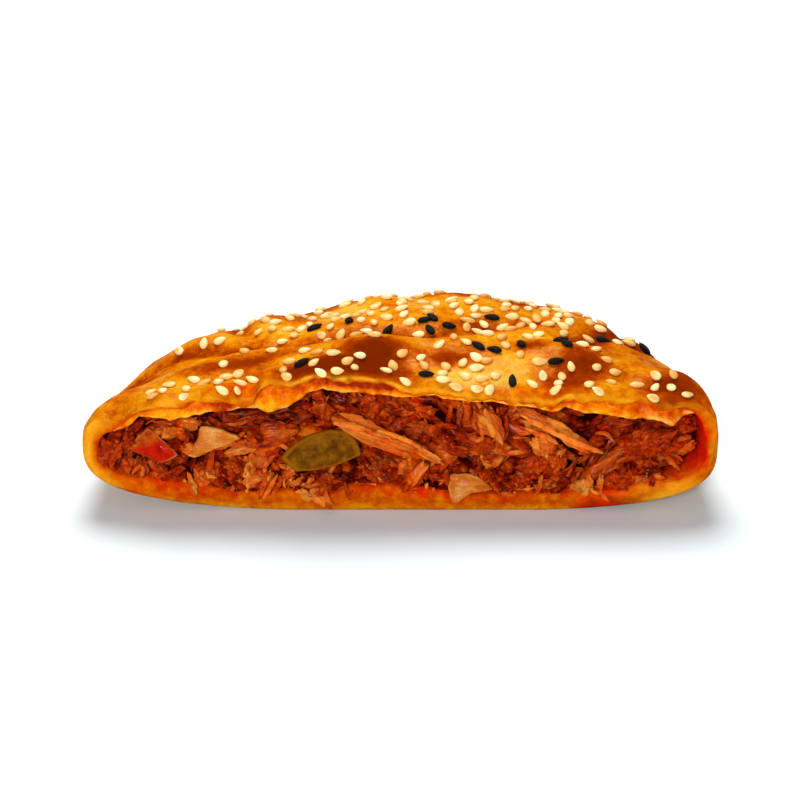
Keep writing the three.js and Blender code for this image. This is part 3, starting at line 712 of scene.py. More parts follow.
def crust_relief(grid, a):
    """Skin of the dough: soft blisters, fine folds along the lip and wrinkles, most of all in the creases."""
    flat = grid.reshape(-1, 3)
    x, d, z = flat.T
    up = np.broadcast_to(smooth(-0.1, 0.3, np.sin(a)), grid.shape[:2]).ravel()
    blisters = Noise(1).octaves(flat / [8, 7, 8], 2)
    folds = Noise(2).octaves(flat / [11, 2.2, 4], 2)
    wrinkles = Noise(3).octaves(flat / 2.6, 3)
    pleats = 1 - 2 * np.abs(Noise(4).octaves(flat / [6, 1.5, 3], 2))
    torn = bell(x, -33, 4.5) * smooth(3.5, 0, d) * Noise(6).octaves(flat / [2.4, 2.4, 1.4], 3)
    above = (0.04 + 0.12 * smooth(9, 0, d)) * folds + 0.16 * crease_depth(x, d) * pleats + 0.35 * torn
    height = (0.3 * blisters + 0.06 * wrinkles + above * up) * smooth(1, 0.9, d / DEPTH)
    height = height * (0.3 + 0.7 * up) * smooth(0.2, 2.5, z) - 0.1
    return grid_normals(grid) * height.reshape(grid.shape[:2])[..., None]


def edge_rings(outer, inner, bulge):
    """The rounded edge between the inside and the outside, bulging forward."""
    turn = np.pi * (np.arange(EDGE_RINGS) + 1) / (EDGE_RINGS + 1)
    rings = mix(inner[None], outer[None], ((1 - np.cos(turn)) / 2)[:, None, None])
    rings[..., 1] -= bulge * np.sin(turn)[:, None]
    return rings


def crust_values(points, row, up):
    """How baked, stained, red and pale each point of the crust is, with painted shade and a painted highlight
    mixed in. row counts from deep in the pocket out.
    """
    x, d, z = points.T
    speckle = Noise(5).octaves(points / 3, 3)
    top = smooth(0.1, 0.5, up)
    inner = smooth(INSIDE_ROWS + 4, INSIDE_ROWS + 1, row)
    within = smooth(INSIDE_ROWS + 2, INSIDE_ROWS - 1, row)
    low_front = (1 - top) * smooth(4.5, 0.5, d)
    high = smooth(0.8, 4.8, z + speckle)
    left_wall = smooth(-57, -62, x) * smooth(3, 7, z) * (1 - inner)
    right_wall = smooth(61, 65, x) * smooth(6, 1, d) * smooth(7, 16, z)
    yellow_end = bell(x, 57, 8) * smooth(12, 7, z)
    soaked = low_front * bell(x, 44, 6) + 0.8 * within * bell(x, 43, 6) * smooth(9, 5, z) * smooth(6, 1, d)

    # Browned where baked, and darker along the creases, partly as painted shade.
    bake = (sum_of_bells(x, d, BAKED) + 0.35 * crease_depth(x, d)) * top
    bake = bake + 0.5 * smooth(50, 66, d) + 0.7 * smooth(3, 0.4, z) * (d > 3) + 2.2 * soaked
    # The bottom lip browns towards the filling, partly as painted shade, and the pocket's inside is darker,
    # as painted shade between crust and filling.
    bake = bake + low_front * (0.3 * high - 0.7 * yellow_end) + 0.9 * inner * (1 - top) * smooth(-56, -50, x)

    # Oil stains along the lip, and the pocket's inside stained, partly as painted shade in the gap round the
    # filling.
    stain = sum_of_bells(x, d, STAINED) * top + inner - 0.75 * soaked - left_wall
    # Oil on the bottom lip, rising towards the filling, partly as painted shade.
    oily = 0.28 + 0.6 * high - 0.9 * yellow_end - 0.5 * smooth(-20, -45, x)
    stain = stain + low_front * oily * (0.7 + speckle)

    dripped = 0.72 * bell(x, 44, 5.5) + (0.5 * bell(x, 4, 7) + 0.3 * bell(x, -50, 7)) * high
    red = within * (0.3 + 0.6 * smooth(40, 64, x) + 0.4 * smooth(3, 9, d))
    red = red + low_front * dripped * (0.7 + speckle) + (0.1 + 0.5 * speckle) * right_wall - left_wall

    # A pale line along the torn edge: partly pale torn dough, partly a painted highlight.
    fold = (0.3 + 0.5 * smooth(-0.4, 0.3, speckle)) * (1 - 0.7 * bell(x, -35, 6))
    fold = fold * (1 - 0.6 * smooth(40, 55, x) - 0.6 * bell(x, 22, 9))
    pale = top * smooth(0.6, 0.1, d + lip_reach(x)) * (1 - inner) * fold
    lip = 0.4 * bell(x, -19, 5) * smooth(0, 0.6, speckle) + 0.6 * yellow_end * (0.7 + speckle)
    ends = left_wall * (0.8 + 0.3 * speckle) + right_wall * (1 - inner) * 0.45
    pale = pale + low_front * (lip + ends)
    shares = {"stain": stain, "red": red, "pale": pale}
    return {"bake": bake} | {key: np.clip(value, 0, 1) for key, value in shares.items()}


def make_crust():
    grid, a = crust_points()
    rows, columns = grid.shape[:2]
    tips = np.array([wall(np.zeros(1), np.full(1, back_depth(inset)), inset)[0] for inset in (1, 0)])
    points = np.concatenate([grid.reshape(-1, 3), tips])
    row = np.concatenate([np.repeat(np.arange(rows), columns), [0, rows]])
    up = np.concatenate([np.tile(np.sin(a), rows), [0, 0]])
    values, faces = crust_values(points, row, up), tube_faces(rows, columns)
    return build("crust_shell", points, *faces, values, crust_material(), "crust", "crust")


def torn_edge(x, rough):
    """The ragged height of the torn layer's edge."""
    line = stacked(x, 0, 0)
    ragged = mix(0.3, 0.16, smooth(2, 14, x) * smooth(54, 44, x))
    torn = ragged * rough.octaves(line / 3.4, 4) + ragged / 3 * rough.octaves(line / 0.9 + 60, 2)
    return height_at(x, LAYER_EDGE) + torn


def torn_sheet(x, lower, rough):
    """Rows of points down the layer's front, round its edge and up its back, kept under the crust's roof."""
    t = np.linspace(0, 1, LAYER_ROWS)[:, None]
    down = np.where(t < 0.5, smooth(0, 0.46, t), smooth(1, 0.54, t))
    waves = 0.3 * rough.octaves(stacked(x, 0, 0) / 9 + 40, 2) + 0.5 * bell(x, 58, 5) * np.sin(1.3 * x)
    hang = np.maximum(height_at(x, CRUST_EDGE) - lower, 0.3)
    roll = 0.5 * np.sin(np.pi * down) * smooth(1, 4, hang)
    d = 0.6 - lip_reach(x) + waves + LAYER_THICKNESS * smooth(0.42, 0.58, t)
    d = d + 2.2 * (1 - down) ** 1.5 + 0.5 * down ** 6 - roll
    grid = stacked(x, d, lower + (1 - down) * (hang + 0.7))

    side = np.where(x > 0, SECTION_TOP_RIGHT[0], SECTION_TOP_LEFT[0])
    roof = RIM_FRONT + (crown(x, 0) - RIM_FRONT) * arch(np.abs(x) / HALF_WIDTH, side) - 0.6
    near_end = smooth(-46, -52, x) + smooth(56, 60, x)
    grid[..., 2] = mix(grid[..., 2], np.minimum(grid[..., 2], roof), near_end)
    return grid


def make_torn_layer():
    """The inner layer of the top sheet, a soft roll torn lower than the crust and ragged along its edge."""
    rough = Noise(8)
    x = np.linspace(-60, 64.2, LAYER_COLUMNS)
    lower = torn_edge(x, rough)
    flat = torn_sheet(x, lower, rough).reshape(-1, 3)
    fall = flat[:, 2] - np.tile(lower, LAYER_ROWS)
    flat[:, 1] += 0.25 * rough.octaves(flat / [9, 4, 1.6], 2) * smooth(0, 1.5, fall)
    flat[:, 1] += 0.12 * rough.octaves(flat / [1.8, 1.8, 1.0], 3)

    along = flat[:, 0]
    speckle = rough.octaves(flat / 3 + 9, 3)
    low, edge = smooth(2.2, 0, fall), smooth(0.7, 0, fall)
    folded = smooth(0.7, 1.7, fall + 0.5 * rough.octaves(flat / [6, 3, 3] + 5, 2))
    tone = 0.75 + 0.25 * speckle - 0.2 * smooth(44, 52, along)
    tone = tone - sum(depth * bell(along, middle, reach) for middle, reach, depth in LAYER_DARK)
    # Darker higher up, where the layer folds under the crust's edge.
    tone = tone - folded * (0.15 + 0.35 * smooth(-24, -15, along) * smooth(26, 8, along))
    # Pale along the thin lower edge: partly pale dough, partly a painted highlight.
    pale = edge * smooth(-0.1, 0.5, speckle) + low * bell(along, 57, 7) * smooth(-0.2, 0.4, speckle)
    values = {"tone": tone, "pale": np.clip(0.8 * pale, 0, 1)}
    quads, no_tris = strip_faces(LAYER_ROWS, LAYER_COLUMNS), np.zeros((0, 3), int)
    build("torn_layer", flat, quads, no_tris, values, torn_material(), "crust")


# ---------------------------------------------------------------- seeds

# Nigella seeds: x, d, turn
NIGELLA_SPOTS = (
    (-11, 28, 80), (-18.5, 28.5, 10), (-20.5, 7, 15), (-2.5, 24, 50), (5.5, 26.5, 20), (7, 27.5, 130),
    (6.5, 23, 110), (10.5, 24, 10), (5.5, 2, 0), (20, 30, 170), (16.5, 14, 140), (20, 13, 155),
    (26, 17, 115), (34.5, 18.5, 20), (35.5, 15.5, 130), (33, 10, 15), (23.5, 3, 90), (44.5, 29, 10),
    (54, 34.5, 150), (-30, 59, 60), (3, 64, 20), (26, 61, 100), (-12, 65, 150), (43, 55, 40), (-48, 50, 20),
)

# Where the drawn sesame seeds gather: x, d, spread, share of them
SESAME_CLUSTERS = (
    (-35, 4.5, 4, 7), (-46, 3.5, 5, 5), (-26, 34, 7, 9), (-12, 26, 6, 8), (-2, 31, 6, 6), (-20, 8, 5, 5),
    (15, 3.5, 5, 11), (8, 6, 6, 5), (38, 15, 4, 8), (33, 27, 6, 8), (22, 27, 6, 6), (45, 5, 6, 5),
    (33, 5, 6, 4), (-6, 7, 8, 4), (57, 4, 5, 3), (12, 37, 8, 6), (-10, 54, 14, 7), (24, 52, 12, 6),
    (-38, 46, 8, 4), (40, 45, 7, 4),
)

# Length, width and thickness of a seed
SESAME = (3.1, 2.0, 1.2)
NIGELLA = (3.6, 1.95, 1.6)

# How many are drawn, how far apart seeds lie, and how much of their thickness has sunk in
SESAME_COUNT = 84
SEED_SPACING = 2.9
CLOSE_SPACING = 2.5
SEED_SINK = 0.25

# No seed lies further forward than this
SEED_FRONT = -1.0

# Seeds between the drawn ones, which lie close to others: x, d
MORE_SESAME = (
    (-51.5, 0), (-52, 3), (-47, 5.5), (-43, 6), (-41, 4.5), (-45, -2), (-38, 5.5), (-37, -1), (-36, 7),
    (-34, 8), (-34, 0), (-32.5, 4.5), (-31, 7.5), (-37.5, 12.5), (-33.5, 19), (-27.5, 17), (-39.5, 30),
    (-43, 30), (-48.5, 30), (-22.5, 11), (-18, 6), (-24.5, 6.5), (-23.5, -2), (-14, 9), (-11, 6),
    (-9.5, 3.5), (-16.5, -2), (-13, -2.5), (0.5, 10), (-1.5, 6), (1, -1.5), (3.5, -1.5), (-31, 33),
    (-30, 31), (-25.5, 32), (-25.5, 25), (-23, 27), (-29.5, 45.5), (-28, 47), (-23.5, 40.5), (-21.5, 44),
    (-17, 24), (-14, 24.5), (-11, 24), (-9, 26.5), (-7.5, 25), (-5, 25.5), (-4.5, 17.5), (-3, 35.5),
    (-3, 29.5), (-1, 30.5), (4.5, 9.5), (6.5, 6), (11.5, 4.5), (9, 0.5), (13.5, 2), (9, -2), (11.5, -0.5),
    (16, -2), (18.5, -2.5), (17, 5), (19, 7), (20, 4), (20, 1.5), (16, 10), (20, 10), (25.5, 4.5),
    (28.5, 7), (27.5, 2.5), (29.5, 10), (33, 8), (34, 6), (35.5, 3.5), (32.5, 0), (39.5, 1), (36, 8.5),
    (41, -2.5), (46, 7), (47.5, 5.5), (54, 8), (52.5, -1.5), (60, 1.5), (25.5, 12.5), (36, 13.5), (34, 12),
    (42, 16), (40.5, 18), (38, 15), (50.5, 33), (8.5, 14.5), (11.5, 17.5), (14, 15.5), (18.5, 19.5),
    (22, 20.5), (22.5, 16.5), (27.5, 21), (30, 22.5), (25.5, 37), (30, 33), (27.5, 31), (15, 27),
    (16.5, 34.5), (11.5, 34), (14.5, 41), (22.5, 29), (21, 27.5), (4, 28), (4, 22),
)

# Where seeds lie thick on the far side: x, d, spread across, spread back, count
BACK_SESAME = (
    (40, 33, 5, 4, 22), (10, 36, 9, 5, 22), (-14, 36, 8, 4, 18), (-4, 27, 6, 2, 8), (25, 34, 6, 5, 12),
    (-28, 36, 4, 4, 8), (0, 48, 20, 6, 22), (30, 46, 8, 6, 10), (-30, 50, 8, 5, 8),
)


def random_from(seed):
    """The solids' seeded draw, so that the same seeds lie in the same places."""
    state = seed
    while True:
        state = (state * 1664525 + 1013904223) % 2 ** 32
        yield state / 2 ** 32


def distance_to(spots, x, d):
    return min(math.hypot(sx - x, sd - d) for sx, sd in spots)


def sesame_spots():
    """Where sesame seeds lie: the solids' drawn ones, then those listed and those thick on the far side."""
    draw = random_from(7)
    total = sum(share for *_, share in SESAME_CLUSTERS)
    taken = [spot[:2] for spot in NIGELLA_SPOTS]
    spots = []
    while len(spots) < SESAME_COUNT:
        pick = next(draw) * total
        for middle_x, middle_d, spread, share in SESAME_CLUSTERS:
            pick -= share
            if pick < 0:
                break
        angle = next(draw) * 2 * math.pi
        far = spread * math.sqrt(-math.log(1 - 0.92 * next(draw)))
        x = middle_x + far * math.cos(angle)
        d = middle_d + 0.8 * far * math.sin(angle)
        turn = next(draw) * 180
        scale = 0.88 + 0.2 * next(draw)
        on_top = (x / (HALF_WIDTH - 5)) ** 2 + (max(d - 8, 0) / (DEPTH - 16)) ** 2 < 1 and d > 1.5
        if on_top and distance_to(taken, x, d) > SEED_SPACING:
            spots.append((x, d, turn, scale))
            taken.append((x, d))
    rng = np.random.default_rng(22)
    thick = [rng.normal((x, d), (across, back))
             for x, d, across, back, count in BACK_SESAME for _ in range(count)]
    for k, (x, d) in enumerate([*MORE_SESAME, *thick]):
        if distance_to(taken, x, d) > CLOSE_SPACING:
            spots.append((x, d, 47 * k % 180, 0.86 + 0.05 * (k % 5)))
            taken.append((x, d))
    return spots


def seed_shape(size, rows, sides, power, twist=0.0):
    """A plump drop, pointed at its narrow end. A low power makes it angular, like a chip of coal."""
    length, width, thickness = size
    share = ((1 - np.cos(np.pi * (np.arange(rows) + 0.6) / (rows + 0.2))) / 2)[:, None]
    turn = -2 * np.pi * np.arange(sides) / sides
    full = np.sin(np.pi * share ** 0.78) ** 0.62 / 2
    r = super_radius(turn + twist, power)
    across, up = full * width * r * np.sin(turn), full * thickness * r * np.cos(turn)
    grid = stacked((share - 0.5) * length, across, up)
    tips = [[-length / 2, 0, 0], [length / 2, 0, 0]]
    return np.concatenate([grid.reshape(-1, 3), tips]), *tube_faces(rows, sides)


def surface_at(tree, x, d):
    """The crust's top point and normal at x, d, or as little behind it as the crust begins."""
    point = None
    d = max(d, SEED_FRONT)
    while point is None:
        origin = Vector(((x + MIDDLE_X) / 1000, (d + CUT_Y) / 1000, 0.1))
        point, normal, *_ = tree.ray_cast(origin, Vector((0, 0, -1)))
        d += 0.2
    return np.array(point) * 1000 - [MIDDLE_X, CUT_Y, 0], np.array(normal)


def seed_axes(normal, turn):
    """A seed's length, width and upward directions where it lies turned on the crust."""
    along = np.array([math.cos(math.radians(turn)), math.sin(math.radians(turn)), 0])
    along -= normal * (along @ normal)
    along /= np.linalg.norm(along)
    return np.stack([along, np.cross(normal, along), normal])


def lay_seeds(name, spots, size, shape, material, tree, rng):
    pieces = Pieces()
    points, *faces = shape
    middle = smooth(0.9, 0.25, np.hypot(*(points[:, :2] / size[:2]).T * 2))
    for x, d, turn, scale in spots:
        point, normal = surface_at(tree, x, d)
        normal = normal + [*rng.normal(0, 0.12, 2), 0]
        normal /= np.linalg.norm(normal)
        stretch = scale * rng.uniform(0.94, 1.06, 3)
        centre = point + normal * size[2] * (0.5 - SEED_SINK)
        placed = points * stretch @ seed_axes(normal, turn) + centre
        values = {"tone": rng.uniform(0, 1), "heart": middle * smooth(0.5, 0.8, rng.uniform())}
        pieces.add(placed, *faces, values)
    pieces.build(name, material, "crust")


def make_seeds(crust):
    corners = [vertex.co for vertex in crust.data.vertices]
    tree = BVHTree.FromPolygons(corners, [face.vertices for face in crust.data.polygons])
    rng = np.random.default_rng(21)
    sesame = seed_shape(SESAME, 10, 14, 2.2)
    nigella = seed_shape(NIGELLA, 8, 10, 1.5, 0.4)
    nigella_spots = [(*spot, 1.0) for spot in NIGELLA_SPOTS]
    lay_seeds("sesame_seeds", sesame_spots(), SESAME, sesame, sesame_material(), tree, rng)
    lay_seeds("nigella_seeds", nigella_spots, NIGELLA, nigella, nigella_material(), tree, rng)


# ---------------------------------------------------------------- filling

# The heap: its face runs in rings from a level line in its middle to the wall of the pocket
SPINE_HEIGHT = 13.0
SPINE_LENGTH = 0.9
FACE_DEPTH = 13.0
CORE_SINK = 0.7
CORE_LEVEL = 0.8

# How far out the mouth holds filling, and where in it small pieces are drawn
MOUTH_REACH = 61.5
FACE_X = (-61, 60)
FACE_Z = (3, 28)

# Which way the fibres run over the face: x, z, slope in degrees, reach
FIBRE_FIELD = (
    (-52, 10, 60, 7), (-45, 18, 15, 8), (-36, 15, 22, 8), (-40, 6, 65, 7), (-30, 10, 40, 7),
    (-27, 18, 10, 8), (-26, 6, 70, 6), (-16, 22, 80, 4), (-12, 19, -24, 8), (0, 15, -26, 9), (-5, 7, 8, 8),
    (6, 9, 5, 8), (10, 20, -20, 6), (20, 20, -72, 6), (18, 13, -30, 7), (33, 18, -30, 9), (28, 8, 15, 7),
    (24, 4, -60, 6), (37, 7, 62, 6), (45, 10, 46, 7), (53, 17, 12, 8), (52, 9, -25, 7), (58, 13, 25, 6),
)

# Strands that show in the cut: ends x, z and x, z, width, how far it stands out, tone from dark to pale
STRANDS = (
    (-17.6, 24.2, -16.3, 20.3, 1.5, 0.9, 0.72), (-16.3, 24.4, -17.2, 21.2, 1.3, 0.8, 0.6),
    (-15.1, 23.5, -18, 21.2, 1, 0.6, 0.55), (-13.5, 21.2, -3.6, 18.2, 1.2, 6, 0.86),
    (-6.9, 18.2, 2.7, 14.6, 1.1, 6, 0.8), (-1.7, 17.2, 7.9, 12.2, 1, 6, 0.74),
    (-4.4, 19.4, 4.5, 15.6, 0.9, 6, 0.9), (-10, 20.7, -2.5, 17.5, 0.7, 6, 0.95),
    (-0.4, 12.8, 2.7, 12.5, 2.4, 1, 0.7), (1.6, 16.2, 8.8, 11.6, 0.8, 6, 0.7),
    (25.3, 22, 42, 14, 1.25, 6, 0.98), (26.5, 19.6, 33, 16.4, 1, 6, 0.75),
    (-5.9, 9.3, 0.8, 9.8, 1.5, 0.6, 0.6), (-6.7, 8, -0.8, 7.1, 1.3, 0.5, 0.55),
    (-5.4, 7.3, -2.5, 8, 0.9, 1, 0.9), (2.9, 22.3, 8.8, 23.5, 1.6, 0.6, 0.35),
    (14.2, 15, 19, 15.3, 1, 1, 0.85), (14.6, 16.2, 18, 14.6, 0.8, 0.7, 0.6),
    (17.2, 13, 23.4, 13.4, 3.2, 0.8, 0.62), (18, 10.2, 22.6, 11.6, 2.4, 0.7, 0.6),
    (17.2, 11.2, 20.9, 6.4, 1.1, 1.3, 0.97), (15.5, 22.6, 18.2, 16.2, 1.3, 0.8, 0.62),
    (17.2, 22.8, 19.7, 15.7, 1.5, 1.1, 0.7), (19.2, 22.1, 20.9, 16.6, 1.2, 0.9, 0.6),
    (20.9, 21.6, 20.5, 15.7, 1.2, 0.7, 0.66), (22.6, 20.7, 22.2, 15.3, 1, 0.6, 0.55),
    (8.8, 18.5, 13.8, 14.8, 1.1, 0.6, 0.5), (8.4, 21.6, 13, 17.1, 1, 0.5, 0.45),
    (10.9, 22.1, 10, 16.2, 1.1, 0.7, 0.6), (13, 21.2, 12.1, 17.1, 1, 0.6, 0.55),
    (25.7, 19.8, 31.2, 16.9, 1.3, 1.4, 0.8), (28.4, 14.8, 31.8, 12.1, 3.6, 1.1, 0.72),
    (26.4, 8.4, 32.2, 8, 4.6, 0.4, 0.4), (24.1, 4.1, 25.9, 1.1, 0.9, 0.8, 0.95),
    (22, 4.3, 24.3, 3.6, 0.8, 0.6, 0.7), (33.9, 2.9, 36.4, 9.3, 0.9, 0.9, 0.7),
    (35.6, 2.5, 37.6, 8.4, 0.8, 0.7, 0.6), (33.5, 5.2, 38.1, 10.7, 0.7, 0.8, 0.8),
    (37.2, 5.2, 40.2, 5.7, 2.4, 1.2, 0.78), (39.3, 6.1, 46.4, 13.4, 1.7, 1.2, 0.6),
    (41.4, 5.2, 46.9, 10.7, 1.1, 0.9, 0.7), (42.3, 18.5, 47.3, 20.5, 2, 0.4, 0.6),
    (43.9, 17.5, 50.2, 18.9, 1.5, 0.3, 0.5), (40.2, 5.2, 44.1, 2.9, 0.8, 0.6, 0.75),
    (44.3, 2.7, 46.4, 4.8, 0.8, 0.6, 0.9), (41.8, 2.5, 42.7, 5.2, 0.7, 0.5, 0.6),
    (47.3, 12.1, 52.7, 16.6, 1.8, 0.5, 0.3), (49.4, 11.2, 56.1, 16.6, 2, 0.6, 0.28),
    (52.7, 11.2, 58.4, 15.7, 1.7, 0.4, 0.3), (49.8, 8.9, 54.8, 9.8, 2.4, 1, 0.62),
    (51, 7.1, 54.8, 8, 1.6, 0.8, 0.8), (49.4, 7.1, 52.3, 10.7, 1.2, 1, 0.55),
    (54.8, 12.5, 60.2, 9.8, 0.9, 0.4, 0.6), (56.1, 9.3, 60.7, 11.6, 0.8, 0.4, 0.75),
    (55.2, 10.7, 57.7, 8.4, 0.7, 0.4, 0.5), (57.7, 12.5, 61.1, 13, 0.8, 0.3, 0.7),
    (-57.7, 12.5, -56.1, 8.9, 2.2, 0.8, 0.4), (-55.2, 12.1, -54, 8.4, 1.8, 0.6, 0.35),
    (-54, 15.7, -49.4, 17.5, 1, 0.7, 0.7), (-51.5, 18.5, -43.9, 15.7, 2.6, 0.4, 0.4),
    (-48.9, 19.4, -44.8, 18.5, 1.2, 0.6, 0.5), (-44.8, 16.2, -45.6, 12.1, 1.1, 0.9, 0.3),
    (-42.3, 13.4, -33.9, 15.7, 2.2, 0.9, 0.75), (-43.1, 12.1, -39.3, 13.4, 1.1, 1, 0.6),
    (-31.4, 13.9, -22.6, 15.7, 2.2, 0.7, 0.5), (-29.7, 17.1, -27.2, 18.9, 1.2, 0.7, 0.6),
    (-26.4, 15.3, -22.2, 13, 0.9, 0.6, 0.6), (-32, 8.9, -32.4, 4.1, 0.9, 1.2, 0.85),
    (-28.9, 2.9, -25.9, 8, 0.9, 0.9, 0.75), (-27.6, 2.5, -25.1, 7.1, 0.9, 0.7, 0.6),
    (-29.7, 3.4, -28, 7.5, 0.8, 0.7, 0.5), (-23, 7.1, -20.1, 5.7, 2.2, 0.9, 0.78),
    (-20.9, 4.8, -18.8, 2.9, 1.6, 0.9, 0.85), (-23.4, 2.9, -20.9, 4.8, 1, 0.7, 0.7),
    (-49.4, 8, -48.1, 5.2, 1.1, 0.7, 0.9), (-46.9, 8.9, -48.1, 5.7, 0.9, 0.7, 0.7),
    (-44.6, 8.4, -43.3, 4.3, 1.4, 0.8, 0.85), (-42.7, 7.5, -41.4, 3.9, 1.1, 0.7, 0.7),
    (-33.9, 3.6, -31, 2, 1.1, 0.7, 0.95), (-36.8, 9.8, -33.5, 6.6, 3.4, 0.2, 0.35),
    (-41.8, 9.8, -37.6, 8, 1.6, 0.4, 0.35), (-41, 7.1, -37.2, 5.2, 1.3, 0.4, 0.3),
    (-11.3, 7.3, -7.9, 8.9, 1.5, 1, 0.12), (-13.4, 6.1, -10, 7.1, 1.3, 0.7, 0.15),
    (-18.8, 8, -14.2, 6.6, 1.5, 0.7, 0.35), (-17.2, 4.8, -11.3, 6.6, 1.1, 0.6, 0.5),
    (-11.7, 6.1, -10.5, 2.5, 1, 0.9, 0.6), (-17.6, 5.2, -15, 1.8, 2.2, 0.9, 0.62),
    (-14.6, 23, -10, 21.6, 1.6, 0.3, 0.3), (-9.2, 24.4, -5.9, 21.2, 1.4, 0.4, 0.45),
    (-4.6, 23.9, 0.4, 21.6, 1.6, 0.3, 0.4), (-7.1, 22.1, -5.4, 24.4, 1, 0.6, 0.7),
    (0.4, 22.1, 5, 19.8, 1.4, 0.3, 0.3), (4.2, 20.7, 8.4, 18.5, 1.1, 0.4, 0.5),
    (-26.8, 19.8, -20.9, 23, 1.4, 0.4, 0.45), (-24.3, 18, -18.4, 19.8, 1.5, 0.4, 0.3),
    (-36, 19.8, -31, 18.5, 1.6, 0.3, 0.3), (-40.6, 19.4, -36, 17.1, 1.6, 0.3, 0.35),
    (32.4, 21.2, 36.6, 18.5, 1.4, 0.2, 0.2), (1, 10.7, 10.2, 12.1, 2, 0.7, 0.42),
    (2.5, 7.5, 9.6, 8.9, 2.2, 0.8, 0.38), (8.4, 13.9, 14.6, 12.1, 1.6, 0.5, 0.35),
    (10.9, 17.1, 16.7, 13.4, 1.2, 0.6, 0.5), (23.4, 13.4, 27.6, 12.1, 1.2, 0.5, 0.35),
    (32.6, 13, 37.6, 10.7, 1.6, 0.5, 0.3),
)

# Rounded lumps that show: x, z, how far each stands out, size, stretch, slope, tone, how thick its sauce is
SHOWN_LUMPS = (
    (-62, 13, 1, 4.2, 1.2, 75, 0.55, 0.4), (-61.2, 10.2, 1.1, 3.2, 1.1, 20, 0.45, 0.5),
    (-59, 9, 1, 2.8, 1.3, -30, 0.45, 0.3), (-57.5, 16, 0.4, 2.6, 1.2, 40, 0.3, 0.8),
    (-44.5, 19.2, 2.2, 3.2, 1.5, 10, 0.8, 0), (-48, 18, 2.4, 2.6, 1.3, -10, 0.85, 0),
    (30, 15.2, 1.4, 4.2, 1.1, -50, 0.8, 0), (1.4, 12.8, 1.2, 2.6, 1.2, 0, 0.72, 0),
    (18.6, 14, 1.3, 3.4, 1.2, 30, 0.6, 0), (28.6, 9, 1.6, 4.8, 1.5, 10, 0.5, 0.8),
    (25.5, 6.6, 1.2, 3.4, 1.3, -20, 0.4, 0.9), (38.6, 5.6, 1.4, 2.8, 1.3, 5, 0.85, 0),
    (48.5, 13.8, 1.6, 4.4, 1.8, 35, 0.4, 0.6), (53.8, 15, 1.8, 4.4, 1.8, 30, 0.45, 0.6),
    (57, 13, 2, 3.4, 1.5, 30, 0.5, 0.7), (59.8, 16.5, 2.2, 3.4, 1.5, 60, 0.5, 0.8),
    (60.4, 12.4, 2.2, 3, 1.6, 40, 0.7, 0.3), (57.4, 19.4, 1.6, 3.4, 1.7, 10, 0.4, 0.8),
    (51.4, 9.2, 1, 3.2, 1.3, -25, 0.55, 0.2), (46, 6.4, 1.2, 3.2, 1.4, -20, 0.5, 0.9),
    (47.5, 9, 1, 3, 1.2, 50, 0.4, 0.8), (9.6, 10.4, 0.9, 3.8, 1.6, 5, 0.34, 0.7),
    (5, 8.4, 0.8, 3.6, 1.5, 8, 0.34, 0.6), (-36.5, 8, 0.6, 3.8, 1.2, 30, 0.3, 0.4),
    (-31.8, 8.4, 1.8, 2.8, 1.9, 85, 0.98, 0), (-22, 6.4, 1.3, 3, 1.3, 0, 0.85, 0),
    (-17.4, 4, 1.5, 2.6, 1.5, 60, 0.98, 0), (-6, 22.5, 0.3, 3.2, 1.5, 30, 0.35, 0.3),
    (-26.5, 12.2, 0.8, 2.8, 1.4, 20, 0.3, 0.8),
)

# How many small pieces there are of each kind, and what their sizes and tones are drawn between
BUNDLE_RULE = {"count": 60, "length": (4.0, 10.0), "fibres": (2, 5), "tone": (0.15, 0.7)}
SHRED_RULE = {"count": 70, "length": (2.0, 5.0), "slimness": (0.14, 0.24), "tone": (0.35, 1.0)}
LUMP_RULE = {"count": 90, "parts": (2, 5), "size": (1.4, 3.4), "tone": (0.15, 0.85)}
CRUMB_RULE = {"count": 110, "size": (0.5, 1.2), "tone": (0.3, 1.0)}
BIT_RULE = {"count": 26, "size": (0.6, 1.5)}
SPILL_COUNT = 60
CHUNK_LUMPS = 22
LEAF_WIDTH = 0.85
SHEAF_WIDTH = 1.25

# Pieces may lie low in the face as far out as this
LOW_REACH = 54

# Hollows between the flakes, set deeper and darkened as painted shade: x, z, radius across, radius up, depth
HOLLOWS = (
    (39.5, 20.5, 4, 1.5, 5), (30, 23, 2.5, 1.2, 5), (37, 9.5, 1.4, 3.2, 4.5), (13.5, 10, 3, 1.5, 3),
    (7, 7, 2.6, 1.3, 2.5), (-3.5, 14, 1.5, 1.4, 3), (-6.5, 16.5, 2, 1.2, 2.5), (-13, 6, 1.6, 1.1, 2.5),
    (-33, 23, 9, 1.5, 4), (21, 23.5, 2, 1.3, 3.5), (-24, 11.5, 2, 1.2, 2.5), (8, 20, 3, 1.5, 2),
    (-14, 25, 3, 1.3, 2.5), (46, 12.5, 2.5, 1.5, 2), (-44, 11, 2.5, 1.2, 2.5), (26, 6, 3, 1, 2),
    (-4, 7.4, 5, 0.8, 2.5), (-55, 19.5, 2.5, 1.5, 2.5), (50, 19.5, 4, 1.3, 2),
)

